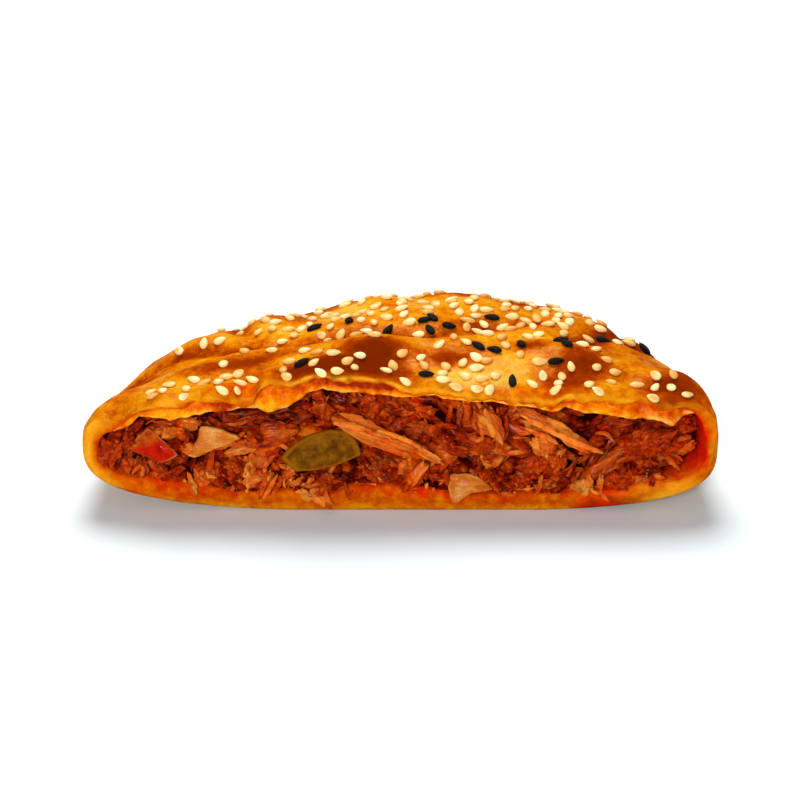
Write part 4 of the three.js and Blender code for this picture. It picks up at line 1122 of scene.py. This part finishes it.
# Paler and, with a value below 0, darker parts of the filling, the darkest high under the lip as painted
# shade: x, z, radius across, radius up, change of tone
TONE_REGIONS = (
    (-36, 21.2, 9, 2.2, -0.6), (-5, 24, 9, 2.4, -0.15), (53, 15, 7, 4, -0.12), (34, 8.5, 6, 3, -0.2),
    (10, 19, 4, 3, -0.15), (20, 20, 4, 5, 0.2), (-17, 22, 3, 3, 0.25), (4, 12, 4, 2, 0.2),
    (30, 14.5, 4, 3, 0.25), (40, 4.5, 6, 2.5, 0.3), (-45, 7, 5, 3, 0.25), (-33, 6, 3, 4, 0.2),
    (-22, 5, 6, 2.5, 0.25), (24, 3, 4, 2, 0.3), (-43, 19, 6, 2, 0.15), (-55, 10, 4, 4, -0.15),
    (-37, 9, 4, 3, -0.2), (6, 9, 6, 2.4, -0.25), (-10, 6.5, 5, 2, -0.3), (57, 8.5, 4, 3, 0.1),
)

# Where nothing small lies in front of a larger piece: x, z, radius across, radius up
CLEAR_SPOTS = (
    (-52.3, 14.2, 5.5, 4), (-39.6, 15.4, 5.5, 3.6), (-16.5, 13.6, 8.4, 4.4), (14.8, 5.2, 5, 3.4),
    (-2, 16, 9, 2.2), (33.6, 18.6, 7, 2.5),
)


def hollow(x, z):
    return sum_of_bells(x, z, HOLLOWS)


def recess(x, z):
    """How far behind the cut the heap's face lies."""
    height = 3.0 * smooth(16, 24, z) - 3.1 * (1 - smooth(4, 10, z))
    right_end = 4.5 * smooth(52, 61, x)
    left_end = 3.0 * smooth(-54, -60, x) * smooth(11, 7, z) - 2.2 * smooth(-50, -60, x) * smooth(8, 12, z)
    lumps = 0.8 * np.sin(0.55 * x + 0.4 * z) + 0.7 * np.sin(0.9 * z - 0.35 * x + 2) + 0.5 * np.sin(1.3 * x)
    return 3.4 + height + right_end + left_end + hollow(x, z) + mix(0.35, 1, smooth(4, 9, z)) * lumps


class Mouth:
    """The opening of the pocket at its face: the lowest and highest filling at each x."""

    def __init__(self):
        a = np.linspace(0, 2 * np.pi, 721)
        rim = wall(a, np.full_like(a, 4.0), 1, 0.4)
        top, base = rim[np.sin(a) > 0], rim[np.sin(a) < 0]
        self.top = top[np.argsort(top[:, 0])]
        self.base = base[np.argsort(base[:, 0])]

    def low(self, x):
        return np.interp(x, self.base[:, 0], self.base[:, 2])

    def high(self, x):
        roof = np.interp(x, self.top[:, 0], self.top[:, 2])
        return np.minimum(roof, height_at(x, LAYER_EDGE) + 2.5)

    def holds(self, x, z, margin):
        return abs(x) < MOUTH_REACH - margin and self.low(x) + margin < z < self.high(x) - margin


MOUTH = Mouth()


def billow(points, scale, seed):
    """Rounded lumps between sharp crevices, about 0 to 1."""
    return np.abs(Noise(seed)(points / scale))


def core_points(columns=900, face_rows=56, back_rows=16):
    """The heap, from its lumpy face to the part that lines the pocket, and how far each lump rises."""
    a = 2 * np.pi * (np.arange(columns) + 0.5) / columns

    def ring(d):
        return wall(a, np.broadcast_to(d, columns), 1, FILLING_GAP)

    def sunk(x, z):
        return recess(x, z) + CORE_SINK * smooth(4, 9, z)

    first = ring(recess(0, 0))
    rim = ring(np.maximum(sunk(first[:, 0], first[:, 2]), 0.4))
    share = ((np.arange(face_rows) + 0.5) / face_rows)[:, None]
    x = rim[:, 0] * mix(SPINE_LENGTH, 1, share)
    z = mix(SPINE_HEIGHT, rim[:, 2], share)
    flat = stacked(x, 0, z).reshape(-1, 3)
    rise = 2.3 * billow(flat, [5.5, 4, 3.6], 31) + 1.1 * billow(flat, [2.3, 2, 2], 32)
    rise = (rise + 0.5 * billow(flat, 1.1, 33)).reshape(x.shape)
    face = stacked(x, np.maximum(sunk(x, z) + (1.3 - rise) * smooth(1, 0.85, share), 0.3), z)
    deep = back_depth(1, FILLING_GAP) * np.sin(np.linspace(0.12, 0.97, back_rows) * np.pi / 2)
    behind = [ring(d) for d in deep if d > FACE_DEPTH]
    grid = np.concatenate([face, rim[None], np.array(behind)])
    hidden = np.full((len(grid) - face_rows, columns), CORE_LEVEL)
    # The lumps' rise, less in the hollows, becomes the heap's tone: painted shade in its crevices and
    # hollows.
    return grid, np.concatenate([rise - 0.6 * hollow(x, z), hidden])


def make_core():
    grid, level = core_points()
    rows, columns = grid.shape[:2]
    front = [0, recess(0, SPINE_HEIGHT) + CORE_SINK, SPINE_HEIGHT]
    points = np.concatenate([grid.reshape(-1, 3), [front, [0, back_depth(1, FILLING_GAP), RIM_BACK]]])
    # Tone from the rise of the lumps: painted shade where the face sinks.
    values = {"tone": np.append(level, [CORE_LEVEL, CORE_LEVEL]) / 2.4}
    quads, tris = tube_faces(rows, columns)
    j = np.arange(columns // 2 - 1)
    spine = np.stack([j, j + 1, columns - 2 - j, columns - 1 - j], -1)
    quads, tris = np.concatenate([quads, spine]), tris[columns:]
    build("filling_core", points, quads, tris, values, sauce_material(), "filling", "filling")


GRAIN_NOISE = Noise(41)


def flake(size, bend, twist, grid, skin, seed, taper=(0.4, 0.4), curve=0.0):
    """A flake of tuna: a bent, twisted and ragged lozenge with its faces and point values.

    grid is its rows and sides, and skin how far its fibres stand out and its ends fray. taper is how slender
    its two ends are, and curve bows it to the side.
    """
    (length, width, thickness), (rows, sides), (ridge, fray) = size, grid, skin
    share = ((1 - np.cos(np.pi * (np.arange(rows) + 0.5) / rows)) / 2)[:, None]
    turn = (-2 * np.pi * np.arange(sides) / sides)[None]
    across, along, front = np.sin(turn) * width / 2, share * length, np.cos(turn)
    fibre = GRAIN_NOISE.over(stacked(across * 1.5, along * 0.16, seed + front), 2)
    ragged = 1 + 0.36 * GRAIN_NOISE.over(stacked(along * 0.6, 0.7 * np.sign(across), seed + 9), 3)
    crag = GRAIN_NOISE.over(stacked(across / 1.1, along / 1.6, seed + 5 + front), 2)
    radius = np.sin(np.pi * share) ** np.where(share < 0.5, *taper)
    u = radius * ragged * across
    relief_height = (ridge * fibre + 0.16 * thickness * crag) * np.sign(front)
    w = np.minimum(1, radius * 1.3) * (thickness / 2 * front + relief_height)
    ends = np.abs(2 * share - 1) ** 3 * np.sign(share - 0.5)
    lean = twist * (share - 0.5)
    bow = 4 * (share - 0.5) ** 2
    x = (share - 0.5) * length + fray * ends * (fibre + 0.2)
    y = bend * bow + w * np.cos(lean) - u * np.sin(lean)
    z = curve * bow + u * np.cos(lean) + w * np.sin(lean)
    grain = stacked(across, along, seed).reshape(-1, 3)
    rim = np.maximum(np.abs(np.sin(turn)) ** 3, 1 - radius)
    values = {"grain": np.concatenate([grain, grain[:2]]), "rim": np.append(rim, [1, 1])}
    return with_tips(stacked(x, y, z)), *tube_faces(rows, sides), values


def add_sheaf(pieces, size, bend, twist, where, tone, seed, rng, fine=1.0, **more):
    """A flake that is coming apart: a core under thinner leaves, which lie along it and part at the ends."""
    length, width, thickness = size
    core = (length * 0.95, width * 0.85, thickness * 0.8)
    grid = (int(30 * fine) + 8, int(26 * fine) + 8)
    add_form(pieces, flake(core, bend, twist, grid, (0.07, 0.8), seed), *where, tone - 0.14, **more)
    count = max(3, round(width / LEAF_WIDTH))
    for m in range(count):
        share = (m + 0.5) / count * 2 - 1
        part = length * math.sqrt(max(1 - 0.7 * share ** 2, 0.1)) * rng.uniform(0.5, 1.0)
        slip = rng.uniform(-0.5, 0.5) * (length - part)
        taper, curve = rng.uniform(0.22, 0.5, 2), rng.uniform(-0.6, 0.6)
        leaf = (part, width / count * rng.uniform(1.5, 2.6), rng.uniform(0.35, 0.7))
        grid = (int(18 * fine) + 7, 12)
        points, quads, tris, values = flake(
            leaf, rng.uniform(-0.5, 0.3), 0.5, grid, (0.05, 0.7), seed + 1.3 * m, taper, curve)
        x, deep, up = place(points, slip, 0, 0, rng.normal(0, 5), 0).T
        deep = deep - thickness * rng.uniform(0.28, 0.46)
        up = up + share * width * 0.4
        c, s = np.cos(twist * x / length), np.sin(twist * x / length)
        bent = stacked(x, 4 * bend * (x / length) ** 2 + deep * c - up * s, up * c + deep * s)
        add_form(pieces, (bent, quads, tris, values), *where, tone + rng.normal(0.02, 0.13), **more)


def add_chunk(pieces, size, where, tone, seed, rng, **more):
    """A crumbly chunk: a blunt body crusted with smaller lumps."""
    length, width, thickness = size
    body = (length * 0.94, width * 0.9, thickness * 0.9)
    form = flake(body, 0, 0, (34, 34), (0.08, 0.4), seed, (0.3, 0.3))
    add_form(pieces, form, *where, tone - 0.1, **more)
    for k in range(CHUNK_LUMPS):
        turn, far = rng.uniform(0, 2 * np.pi), math.sqrt(rng.uniform(0, 0.8))
        u, v = far * math.cos(turn) * length / 2, far * math.sin(turn) * width / 2
        deep = -thickness * 0.42 * math.sqrt(1 - far ** 2)
        points, *rest = lump(rng.uniform(0.9, 1.9), seed + k, rng.uniform(0.7, 1.5), 12, 14)
        points = place(points, u, deep, v, rng.uniform(0, 180), 0)
        add_form(pieces, (points, *rest), *where, tone + rng.normal(0.05, 0.16), **more)


def lump(size, seed, stretch, rows=9, sides=11):
    """A crumb: a knobbly ball drawn out along x, with its faces and point values."""
    share = ((np.arange(rows) + 0.5) / rows)[:, None]
    turn = (-2 * np.pi * np.arange(sides) / sides)[None]
    radius = np.sin(np.pi * share)
    ball = stacked(-np.cos(np.pi * share), radius * np.cos(turn), radius * np.sin(turn))
    bumps = GRAIN_NOISE.over(ball * [1.2, 1.9, 1.9] + 7.7 * seed, 3)
    points = with_tips(ball * (size / 2 * (1 + 0.62 * bumps))[..., None] * [stretch, 0.8, 0.75])
    return points, *tube_faces(rows, sides), {"grain": 0.4 * points + seed, "rim": 0.0}


def add_form(pieces, form, x, d, z, slope, lean, tone, **more):
    """Adds a flake or lump at its place, with its tone and any more point values."""
    points, quads, tris, values = form
    pieces.add(place(points, x, d, z, slope, lean), quads, tris, values | more | {"tone": tone})


def fibre_slope(x, z, rng, spread):
    """A slope near that of the fibres round x, z."""
    heavy = np.array([[math.exp(-((x - fx) ** 2 + 2 * (z - fz) ** 2) / reach ** 2), slope]
                      for fx, fz, slope, reach in FIBRE_FIELD])
    angle = np.radians(heavy[:, 1] * 2)
    total = (heavy[:, 0] * np.cos(angle)).sum(), (heavy[:, 0] * np.sin(angle)).sum()
    return math.degrees(math.atan2(total[1], total[0])) / 2 + rng.normal(0, spread)


def region_tone(x, z):
    # Darker in the hollows, as painted shade.
    return sum_of_bells(x, z, TONE_REGIONS) - 0.12 * hollow(x, z)


def tone_near(x, z, drawn):
    """A piece's tone: partly its own and mostly that of the filling round x, z."""
    around = 0.5 + 0.3 * float(GRAIN_NOISE(np.array([[x / 5.5, z / 4.2, 3.3]]))[0])
    return mix(around, drawn, 0.45) + 0.8 * region_tone(x, z)


def covered(x, z):
    return any(((x - cx) / across) ** 2 + ((z - cz) / up) ** 2 < 1 for cx, cz, across, up in CLEAR_SPOTS)


def lifted(x, z, reach):
    """The height of something that reaches down, kept above the bottom lip's line."""
    return max(z, height_at(x, FLOOR_EDGE) + 0.4 + reach)


def draw_place(rng, margin):
    """A free place on the filling's face."""
    while True:
        x, z = rng.uniform(*FACE_X), rng.uniform(*FACE_Z)
        if MOUTH.holds(x, z, margin) and hollow(x, z) < 0.9 and not covered(x, z):
            return x, z


def make_bundles(material):
    """The flaked tuna that fills the face: bundles of fibres lying side by side, partly pulled apart."""
    rng = np.random.default_rng(51)
    pieces = Pieces()
    for k in range(BUNDLE_RULE["count"]):
        x, z = draw_place(rng, 1.2)
        slope = math.radians(fibre_slope(x, z, rng, 24))
        length = rng.uniform(*BUNDLE_RULE["length"])
        tone = tone_near(x, z, rng.uniform(*BUNDLE_RULE["tone"]))
        depth = recess(x, z) + rng.uniform(-0.5, 0.8) - 0.6 * (tone - 0.4)
        lean = rng.normal(8, 20)
        fibres = rng.integers(*BUNDLE_RULE["fibres"])
        for m in range(fibres):
            aside = (m - fibres / 2) * rng.uniform(0.6, 1.1)
            slip = rng.uniform(-0.22, 0.22) * length
            fx = x + slip * math.cos(slope) - aside * math.sin(slope)
            fz = z + slip * math.sin(slope) + aside * math.cos(slope)
            part = length * rng.uniform(0.5, 1.0)
            fz = lifted(fx, fz, 0.45 * part * abs(math.sin(slope)) + 0.5)
            size = (part, rng.uniform(1.1, 2.5), rng.uniform(0.6, 1.3))
            bend, twist = rng.uniform(-1.1, 1.1), rng.uniform(-1.5, 1.5)
            form = flake(size, bend, twist, (13, 14), (0.06, 0.7), 3.1 * k + 0.7 * m,
                         rng.uniform(0.2, 0.5, 2), rng.uniform(-0.9, 0.9))
            add_form(pieces, form, fx, depth + rng.uniform(-0.4, 0.4), fz,
                     math.degrees(slope) + rng.normal(0, 12), lean + rng.normal(0, 12),
                     tone + rng.normal(0, 0.12))
    pieces.build("tuna_bundles", material, "tuna")


def make_strands(material):
    """The strands that the photograph shows one by one."""
    rng = np.random.default_rng(52)
    pieces = Pieces()
    for k, (x0, z0, x1, z1, width, stand, tone) in enumerate(STRANDS):
        x, z = (x0 + x1) / 2, (z0 + z1) / 2
        tone += 0.5 * region_tone(x, z)
        length = math.hypot(x1 - x0, z1 - z0) + 0.4
        slope = math.degrees(math.atan2(z1 - z0, x1 - x0))
        thickness = min(1.7, 0.45 * width + 0.35)
        where = (x, max(recess(x, z) - stand, -1.2), z, slope, rng.normal(8, 8))
        bend, twist = rng.uniform(-0.5, 0.5), rng.uniform(-0.6, 0.6)
        seed = 70 + 3.7 * k
        if width > SHEAF_WIDTH:
            add_sheaf(pieces, (length, width * 1.1, thickness), bend, twist, where, tone, seed, rng, 0.35)
        else:
            form = flake((length, width * 1.15, thickness), bend, twist, (18, 14), (0.06, 0.6), seed,
                         rng.uniform(0.2, 0.45, 2), rng.uniform(-0.4, 0.4))
            add_form(pieces, form, *where, tone)
    pieces.build("tuna_strands", material, "tuna")


def make_shreds(material):
    """Fine loose shreds of tuna."""
    rng = np.random.default_rng(53)
    pieces = Pieces()
    for k in range(SHRED_RULE["count"]):
        x, z = draw_place(rng, 0.4)
        length = rng.uniform(*SHRED_RULE["length"])
        size = (length, length * rng.uniform(*SHRED_RULE["slimness"]) + 0.25, 0.5)
        bend, twist = rng.uniform(-0.8, 0.8), rng.uniform(-1, 1)
        form = flake(size, bend, twist, (11, 9), (0.05, 0.4), 5.3 * k,
                     rng.uniform(0.2, 0.45, 2), rng.uniform(-0.9, 0.9))
        depth = recess(x, z) + rng.uniform(-0.9, 0.3)
        tone = 0.1 + tone_near(x, z, rng.uniform(*SHRED_RULE["tone"]))
        slope = fibre_slope(x, z, rng, 32)
        add_form(pieces, form, x, depth, lifted(x, z, 0.3 * length), slope, rng.normal(5, 28), tone)
    pieces.build("tuna_shreds", material, "tuna")


def make_lumps(material):
    """Clumps of minced tuna, each a few knobbly lumps grown together."""
    rng = np.random.default_rng(56)
    pieces = Pieces()
    for k in range(LUMP_RULE["count"]):
        x, z = draw_place(rng, 0.8)
        if rng.uniform() < 0.4 and abs(x) < LOW_REACH:
            z = MOUTH.low(x) + rng.uniform(0.4, 3.5)
        depth = recess(x, z) + rng.uniform(-0.5, 0.6)
        size, tone = rng.uniform(*LUMP_RULE["size"]), tone_near(x, z, rng.uniform(*LUMP_RULE["tone"]))
        for m in range(rng.integers(*LUMP_RULE["parts"])):
            form = lump(size * rng.uniform(0.6, 1.1), k + 0.31 * m, rng.uniform(1.0, 2.4), 14, 16)
            along, back, up = rng.normal(0, 0.45 * size, 3)
            under_roof = MOUTH.high(x + along) - 0.5 * size
            up = lifted(x + along, min(z + 0.7 * up, under_roof), 0.5 * size)
            add_form(pieces, form, x + along, depth + 0.5 * back, up, rng.uniform(0, 180),
                     rng.uniform(-60, 60), tone + rng.normal(0, 0.12))
    pieces.build("tuna_lumps", material, "tuna")


def make_shown_lumps(material):
    """The rounded lumps that the photograph shows one by one."""
    rng = np.random.default_rng(59)
    pieces = Pieces()
    for k, (x, z, stand, size, stretch, slope, tone, wet) in enumerate(SHOWN_LUMPS):
        depth = max(recess(x, z), 1.0) - stand
        for m in range(4):
            part = size * rng.uniform(0.7, 1.0)
            form = lump(part, 31 + k + 0.31 * m, stretch * rng.uniform(0.8, 1.2), 16, 18)
            along, up = rng.normal(0, 0.2 * size, 2)
            add_form(pieces, form, x + along, depth, z + up, slope + rng.normal(0, 20), rng.normal(0, 20),
                     tone + rng.normal(0, 0.08), wet=wet)
    pieces.build("tuna_rounded", material, "tuna")


def make_spill(material):
    """Filling that lies over the bottom lip, down to the lip's upper line."""
    rng = np.random.default_rng(58)
    pieces = Pieces()
    for k in range(SPILL_COUNT):
        x = rng.uniform(-56, 56)
        edge = height_at(x, FLOOR_EDGE) + 0.5
        size = rng.uniform(1.2, 3.2)
        z = max(edge + size / 2, MOUTH.low(x) - 1.2) + rng.uniform(0, 1.6)
        tone = rng.uniform(0.1, 0.9)
        depth = rng.uniform(-0.5, 0.5) + 0.5 * (z - edge) / 3
        if covered(x, z) or hollow(x, z) > 1:
            continue
        if rng.uniform() < 0.5:
            shred = (size * 1.7, size * 0.5, 0.6)
            form = flake(shred, rng.uniform(-0.4, 0.4), 0, (12, 12), (0.05, 0.5), 8.3 * k)
            add_form(pieces, form, x, depth, z, rng.uniform(30, 150), rng.normal(-10, 15), tone)
        for m in range(rng.integers(1, 4)):
            form = lump(size * rng.uniform(0.5, 1), 9.1 * k + m, rng.uniform(1.0, 2.4), 12, 14)
            along, up = rng.normal(0, 0.4 * size, 2)
            add_form(pieces, form, x + along, depth + 0.3, max(z + 0.6 * up, edge + size / 3),
                     rng.uniform(0, 180), rng.uniform(-40, 40), tone + rng.normal(0, 0.12))
    pieces.build("tuna_spill", material, "tuna")


def make_crumbs(material):
    """Loose crumbs of tuna, most of them low in the face."""
    rng = np.random.default_rng(54)
    pieces = Pieces()
    for k in range(CRUMB_RULE["count"]):
        x, z = draw_place(rng, 0.3)
        if rng.uniform() < 0.45 and abs(x) < LOW_REACH:
            z = MOUTH.low(x) + rng.uniform(0, 2)
        form = lump(rng.uniform(*CRUMB_RULE["size"]), 4.1 * k, rng.uniform(1, 2.4))
        depth = recess(x, z) + rng.uniform(-0.8, 0.4)
        slope, lean = rng.uniform(0, 180), rng.uniform(-60, 60)
        add_form(pieces, form, x, depth, z, slope, lean, rng.uniform(*CRUMB_RULE["tone"]))
    pieces.build("tuna_crumbs", material, "tuna")


def make_red_bits(material):
    """Small bits of red pepper among the tuna."""
    rng = np.random.default_rng(55)
    pieces = Pieces()
    for k in range(BIT_RULE["count"]):
        x, z = draw_place(rng, 0.6)
        size = rng.uniform(*BIT_RULE["size"])
        points, quads, tris, _ = flake(
            (size * 1.6, size, 0.5), rng.uniform(-0.3, 0.3), 0, (8, 10), (0.03, 0.1), 2.9 * k)
        depth = recess(x, z) + rng.uniform(-0.6, 0.2)
        values = {"tone": rng.uniform(0, 0.3), "rim": 0.0}
        pieces.add(place(points, x, depth, z, rng.uniform(-90, 90), rng.normal(0, 20)), quads, tris, values)
    pieces.build("red_pepper_bits", material, "red_pepper")


# ---------------------------------------------------------------- the separate pieces in the cut

PEPPER_OUTLINE = ((-5.4, -0.2), (-0.8, 3.9), (2.6, 1.1), (5.5, -1.8), (2, -3.6), (-2, -1.8))
ONION_LEFT_OUTLINE = (
    (-5.6, -2.4), (-3.2, 0.3), (-2.3, 3.4), (2.3, 2.5), (6, 0.8), (-0.8, -2.2), (-3.8, -3.5),
)
ONION_LOW_OUTLINE = ((-5, 2.7), (-1.1, 3.2), (1.6, 2.5), (4.8, -0.1), (0, -1.2), (-3.4, -3.4), (-4.2, -1.9))
PICKLE_THICKNESS = 2.4

# Tuna pieces: name, place (x, d, z, slope, lean), size (length, width, thickness), bend, twist, tone
TUNA_PIECES = (
    ("tuna_flake_left", (-27, 1.6, 17, 12, 10), (11, 5.4, 1.6), 0.9, 0.5, 0.52),
    ("tuna_flake_mid", (-3, 0.6, 16.6, -22, 12), (25, 4.6, 2), -1.4, 0.5, 0.7),
    ("tuna_flake_upright", (19.2, 1.4, 19.4, -58, 0), (8.6, 4.6, 1.8), -0.6, 0.4, 0.7),
    ("tuna_flake_right", (33.6, -0.1, 18.6, -31, 10), (18.6, 3, 1.8), 0.8, -0.4, 0.82),
    ("tuna_flake_far_right", (43, 1.2, 10, 46, 6), (11, 3, 2), -0.9, 0.6, 0.58),
    ("tuna_chunk_left", (-35.4, 2, 8.4, 30, 0), (5.6, 5, 3.8), 0, 0, 0.36),
    ("tuna_chunk_low", (-3.7, 2, 8.6, 8, 0), (8, 5.2, 4), 0, 0, 0.52),
    ("tuna_chunk_mid", (29, 2.2, 8.6, 12, 0), (7.6, 5.6, 4.2), 0, 0, 0.4),
    ("tuna_chunk_right", (51.4, 3.4, 9.4, -28, 0), (7, 4.8, 3.6), 0, 0, 0.5),
)


def make_tuna_pieces(material):
    """The flakes and chunks that are solids of their own. The paler ones are calmer in colour."""
    rng = np.random.default_rng(57)
    for k, (name, where, size, bend, twist, tone) in enumerate(TUNA_PIECES):
        pieces = Pieces()
        seed = 11.3 * k + 5
        calm = 0.45 * smooth(0.5, 0.7, tone)
        if bend:
            add_sheaf(pieces, size, bend, twist, where, tone, seed, rng, calm=calm)
        else:
            add_chunk(pieces, size, where, tone, seed, rng, calm=calm)
        pieces.build(name + "_dressed", material, "tuna", name)


def closed_curve(corners, count=108):
    """A smooth closed line through corners, sharper at them than a circle."""
    p = np.array(corners, float)
    sides = len(p)
    t = np.linspace(0, sides, count, endpoint=False)
    i = t.astype(int)
    w = (t - i)[:, None]
    corner, after = p[i % sides], p[(i + 1) % sides]
    arriving = (after - p[(i - 1) % sides]) * 0.2
    leaving = (p[(i + 2) % sides] - corner) * 0.2
    return mix(corner, after, w) + arriving * w * (1 - w) ** 2 - leaving * w ** 2 * (1 - w)


def plate_grid(rim, thickness, rings=18):
    """Rings from the middle of the front over the edge to the middle of the back, and each ring's share."""
    share = np.sin(np.linspace(0.06, np.pi / 2, rings))
    share = np.concatenate([share, share[-2::-1]])[:, None]
    side = np.concatenate([-np.ones(rings), np.ones(rings - 1)])[:, None]
    centre = rim.mean(0)
    x, z = (centre + share[..., None] * (rim - centre)).transpose(2, 0, 1)
    return stacked(x, side * thickness / 2 * np.sqrt(np.maximum(1 - share ** 7, 0)), z), share


def make_plate(name, rim, thickness, bow, where, material, slot, rough=0.15, tones=None):
    """A flat vegetable piece. bow turns its edges back or forward, and tones gives each point its tone."""
    grid, share = plate_grid(rim, thickness)
    grid[..., 1] += bow * ((grid[..., 0] / np.abs(rim).max()) ** 2 - 0.4)
    grid = grid + rough * GRAIN_NOISE.over(grid / [2.2, 2.2, 1.6] + 7, 3)[..., None] * grid_normals(grid)
    points = with_tips(grid)
    shares = np.append(np.broadcast_to(share, grid.shape[:2]), [0, 0])
    values = {"rim": shares, "grain": points[:, [2, 0, 1]]}
    if tones:
        values["tone"] = tones(points)
    pieces = Pieces()
    pieces.add(place(points, *where), *tube_faces(*grid.shape[:2]), values)
    pieces.build(name + "_dressed", material, slot, name)


def bezier(p0, p1, p2, p3, count):
    t = np.linspace(0, 1, count, endpoint=False)[:, None]
    p0, p1, p2, p3 = map(np.array, (p0, p1, p2, p3))
    return p0 * (1 - t) ** 3 + 3 * p1 * t * (1 - t) ** 2 + 3 * p2 * t * t * (1 - t) + p3 * t ** 3


def pickle_rim():
    """The slice's outline, anticlockwise from its left corner: its cut below and its skin above."""
    left, foot, right, top = (-8.8, 0.9), (-6.5, -2.7), (7.9, -2.8), (6.8, 2.3)
    return np.concatenate([
        bezier(left, (-8.0, -0.4), (-7.2, -1.6), foot, 16),
        bezier(foot, (-2.0, -3.9), (3.6, -3.9), right, 44),
        bezier(right, (8.2, -1.0), (7.8, 1.0), top, 16),
        bezier(top, (5.0, 5.0), (-3.6, 5.4), left, 54),
    ])


def pepper_skin(points):
    """1 on the upper part of the pepper, which is skin, and 0 on its flesh."""
    return smooth(-0.8, 1.6, points[:, 2] - 0.35 * points[:, 0] - 0.6)


def make_vegetables(pepper):
    onion = onion_material()
    make_plate("pickle_slice", pickle_rim(), PICKLE_THICKNESS, 0.5, (-16.5, 0.7, 13.4, 15, 12),
               pickle_material(), "pickle", 0.12)
    make_plate("red_pepper_piece", closed_curve(PEPPER_OUTLINE[::-1]), 1.6, -0.5, (-52.3, 1.6, 14.2, 0, 12),
               pepper, "red_pepper", tones=pepper_skin)
    make_plate("onion_piece_left", closed_curve(ONION_LEFT_OUTLINE[::-1]), 1.2, -0.8,
               (-39.6, 1.3, 15.4, 0, 14), onion, "onion")
    make_plate("onion_piece_low", closed_curve(ONION_LOW_OUTLINE[::-1]), 1.1, 0.7,
               (14.8, -0.2, 5.2, 0, 30), onion, "onion")


# ---------------------------------------------------------------- stage

# The camera, in degrees and metres
VIEW = {"elevation": 24.0, "distance": 0.5, "focal_mm": 108.0, "sensor_mm": 36.0, "height": 0.0256}

# Lights: name, place, target, size, power
LIGHTS = (
    ("key", (-0.03, 0.3, 0.6), (0, -0.01, 0.01), 0.46, 5.9),
    ("front", (-0.12, -0.7, 0.3), (0, -0.03, 0.02), 0.2, 4.2),
)
SKY_STRENGTH = 0.24

# The table's two pale tones, in the shader's own values
TABLE_TONES = ([0.72, 0.8, 0.825, 1], [0.74, 0.82, 0.845, 1])


def make_camera():
    elevation = math.radians(VIEW["elevation"])
    target = Vector((0, CUT_Y / 1000, VIEW["height"]))
    lens = bpy.data.cameras.new("camera")
    lens.lens, lens.sensor_width = VIEW["focal_mm"], VIEW["sensor_mm"]
    lens.clip_start, lens.clip_end = 0.01, 20
    camera = bpy.data.objects.new("camera", lens)
    camera.location = target + VIEW["distance"] * Vector((0, -math.cos(elevation), math.sin(elevation)))
    camera.rotation_euler = (math.pi / 2 - elevation, 0, 0)
    bpy.context.scene.collection.objects.link(camera)
    bpy.context.scene.camera = camera


def area_light(name, location, target, size, power):
    light = bpy.data.lights.new(name, "AREA")
    light.shape, light.size, light.energy = "DISK", size, power
    lamp = bpy.data.objects.new(name, light)
    lamp.location = location
    lamp.rotation_euler = (Vector(target) - Vector(location)).to_track_quat("-Z", "Y").to_euler()
    bpy.context.scene.collection.objects.link(lamp)


def make_stage():
    n = Nodes("white_table", specular=0.5, Roughness=0.9)
    color = n.ramp(n.noise(0.01, 2), *zip((0.3, 0.7), TABLE_TONES))
    bpy.ops.mesh.primitive_plane_add(size=8)
    floor = bpy.context.object
    floor.name = "floor"
    floor.data.materials.append(n.finish(color))
    world = bpy.data.worlds.new("studio")
    world.use_nodes = True
    background = world.node_tree.nodes["Background"]
    background.inputs["Color"].default_value = (1, 1, 1, 1)
    background.inputs["Strength"].default_value = SKY_STRENGTH
    bpy.context.scene.world = world
    bpy.context.scene.view_settings.view_transform = "Standard"
    for light in LIGHTS:
        area_light(*light)


def main():
    make_camera()
    make_stage()
    crust = make_crust()
    make_torn_layer()
    make_seeds(crust)
    make_core()
    tuna = tuna_material()
    for make in (make_bundles, make_strands, make_shreds, make_lumps, make_shown_lumps, make_spill,
                 make_crumbs, make_tuna_pieces):
        make(tuna)
    pepper = pepper_material()
    make_vegetables(pepper)
    make_red_bits(pepper)


main()
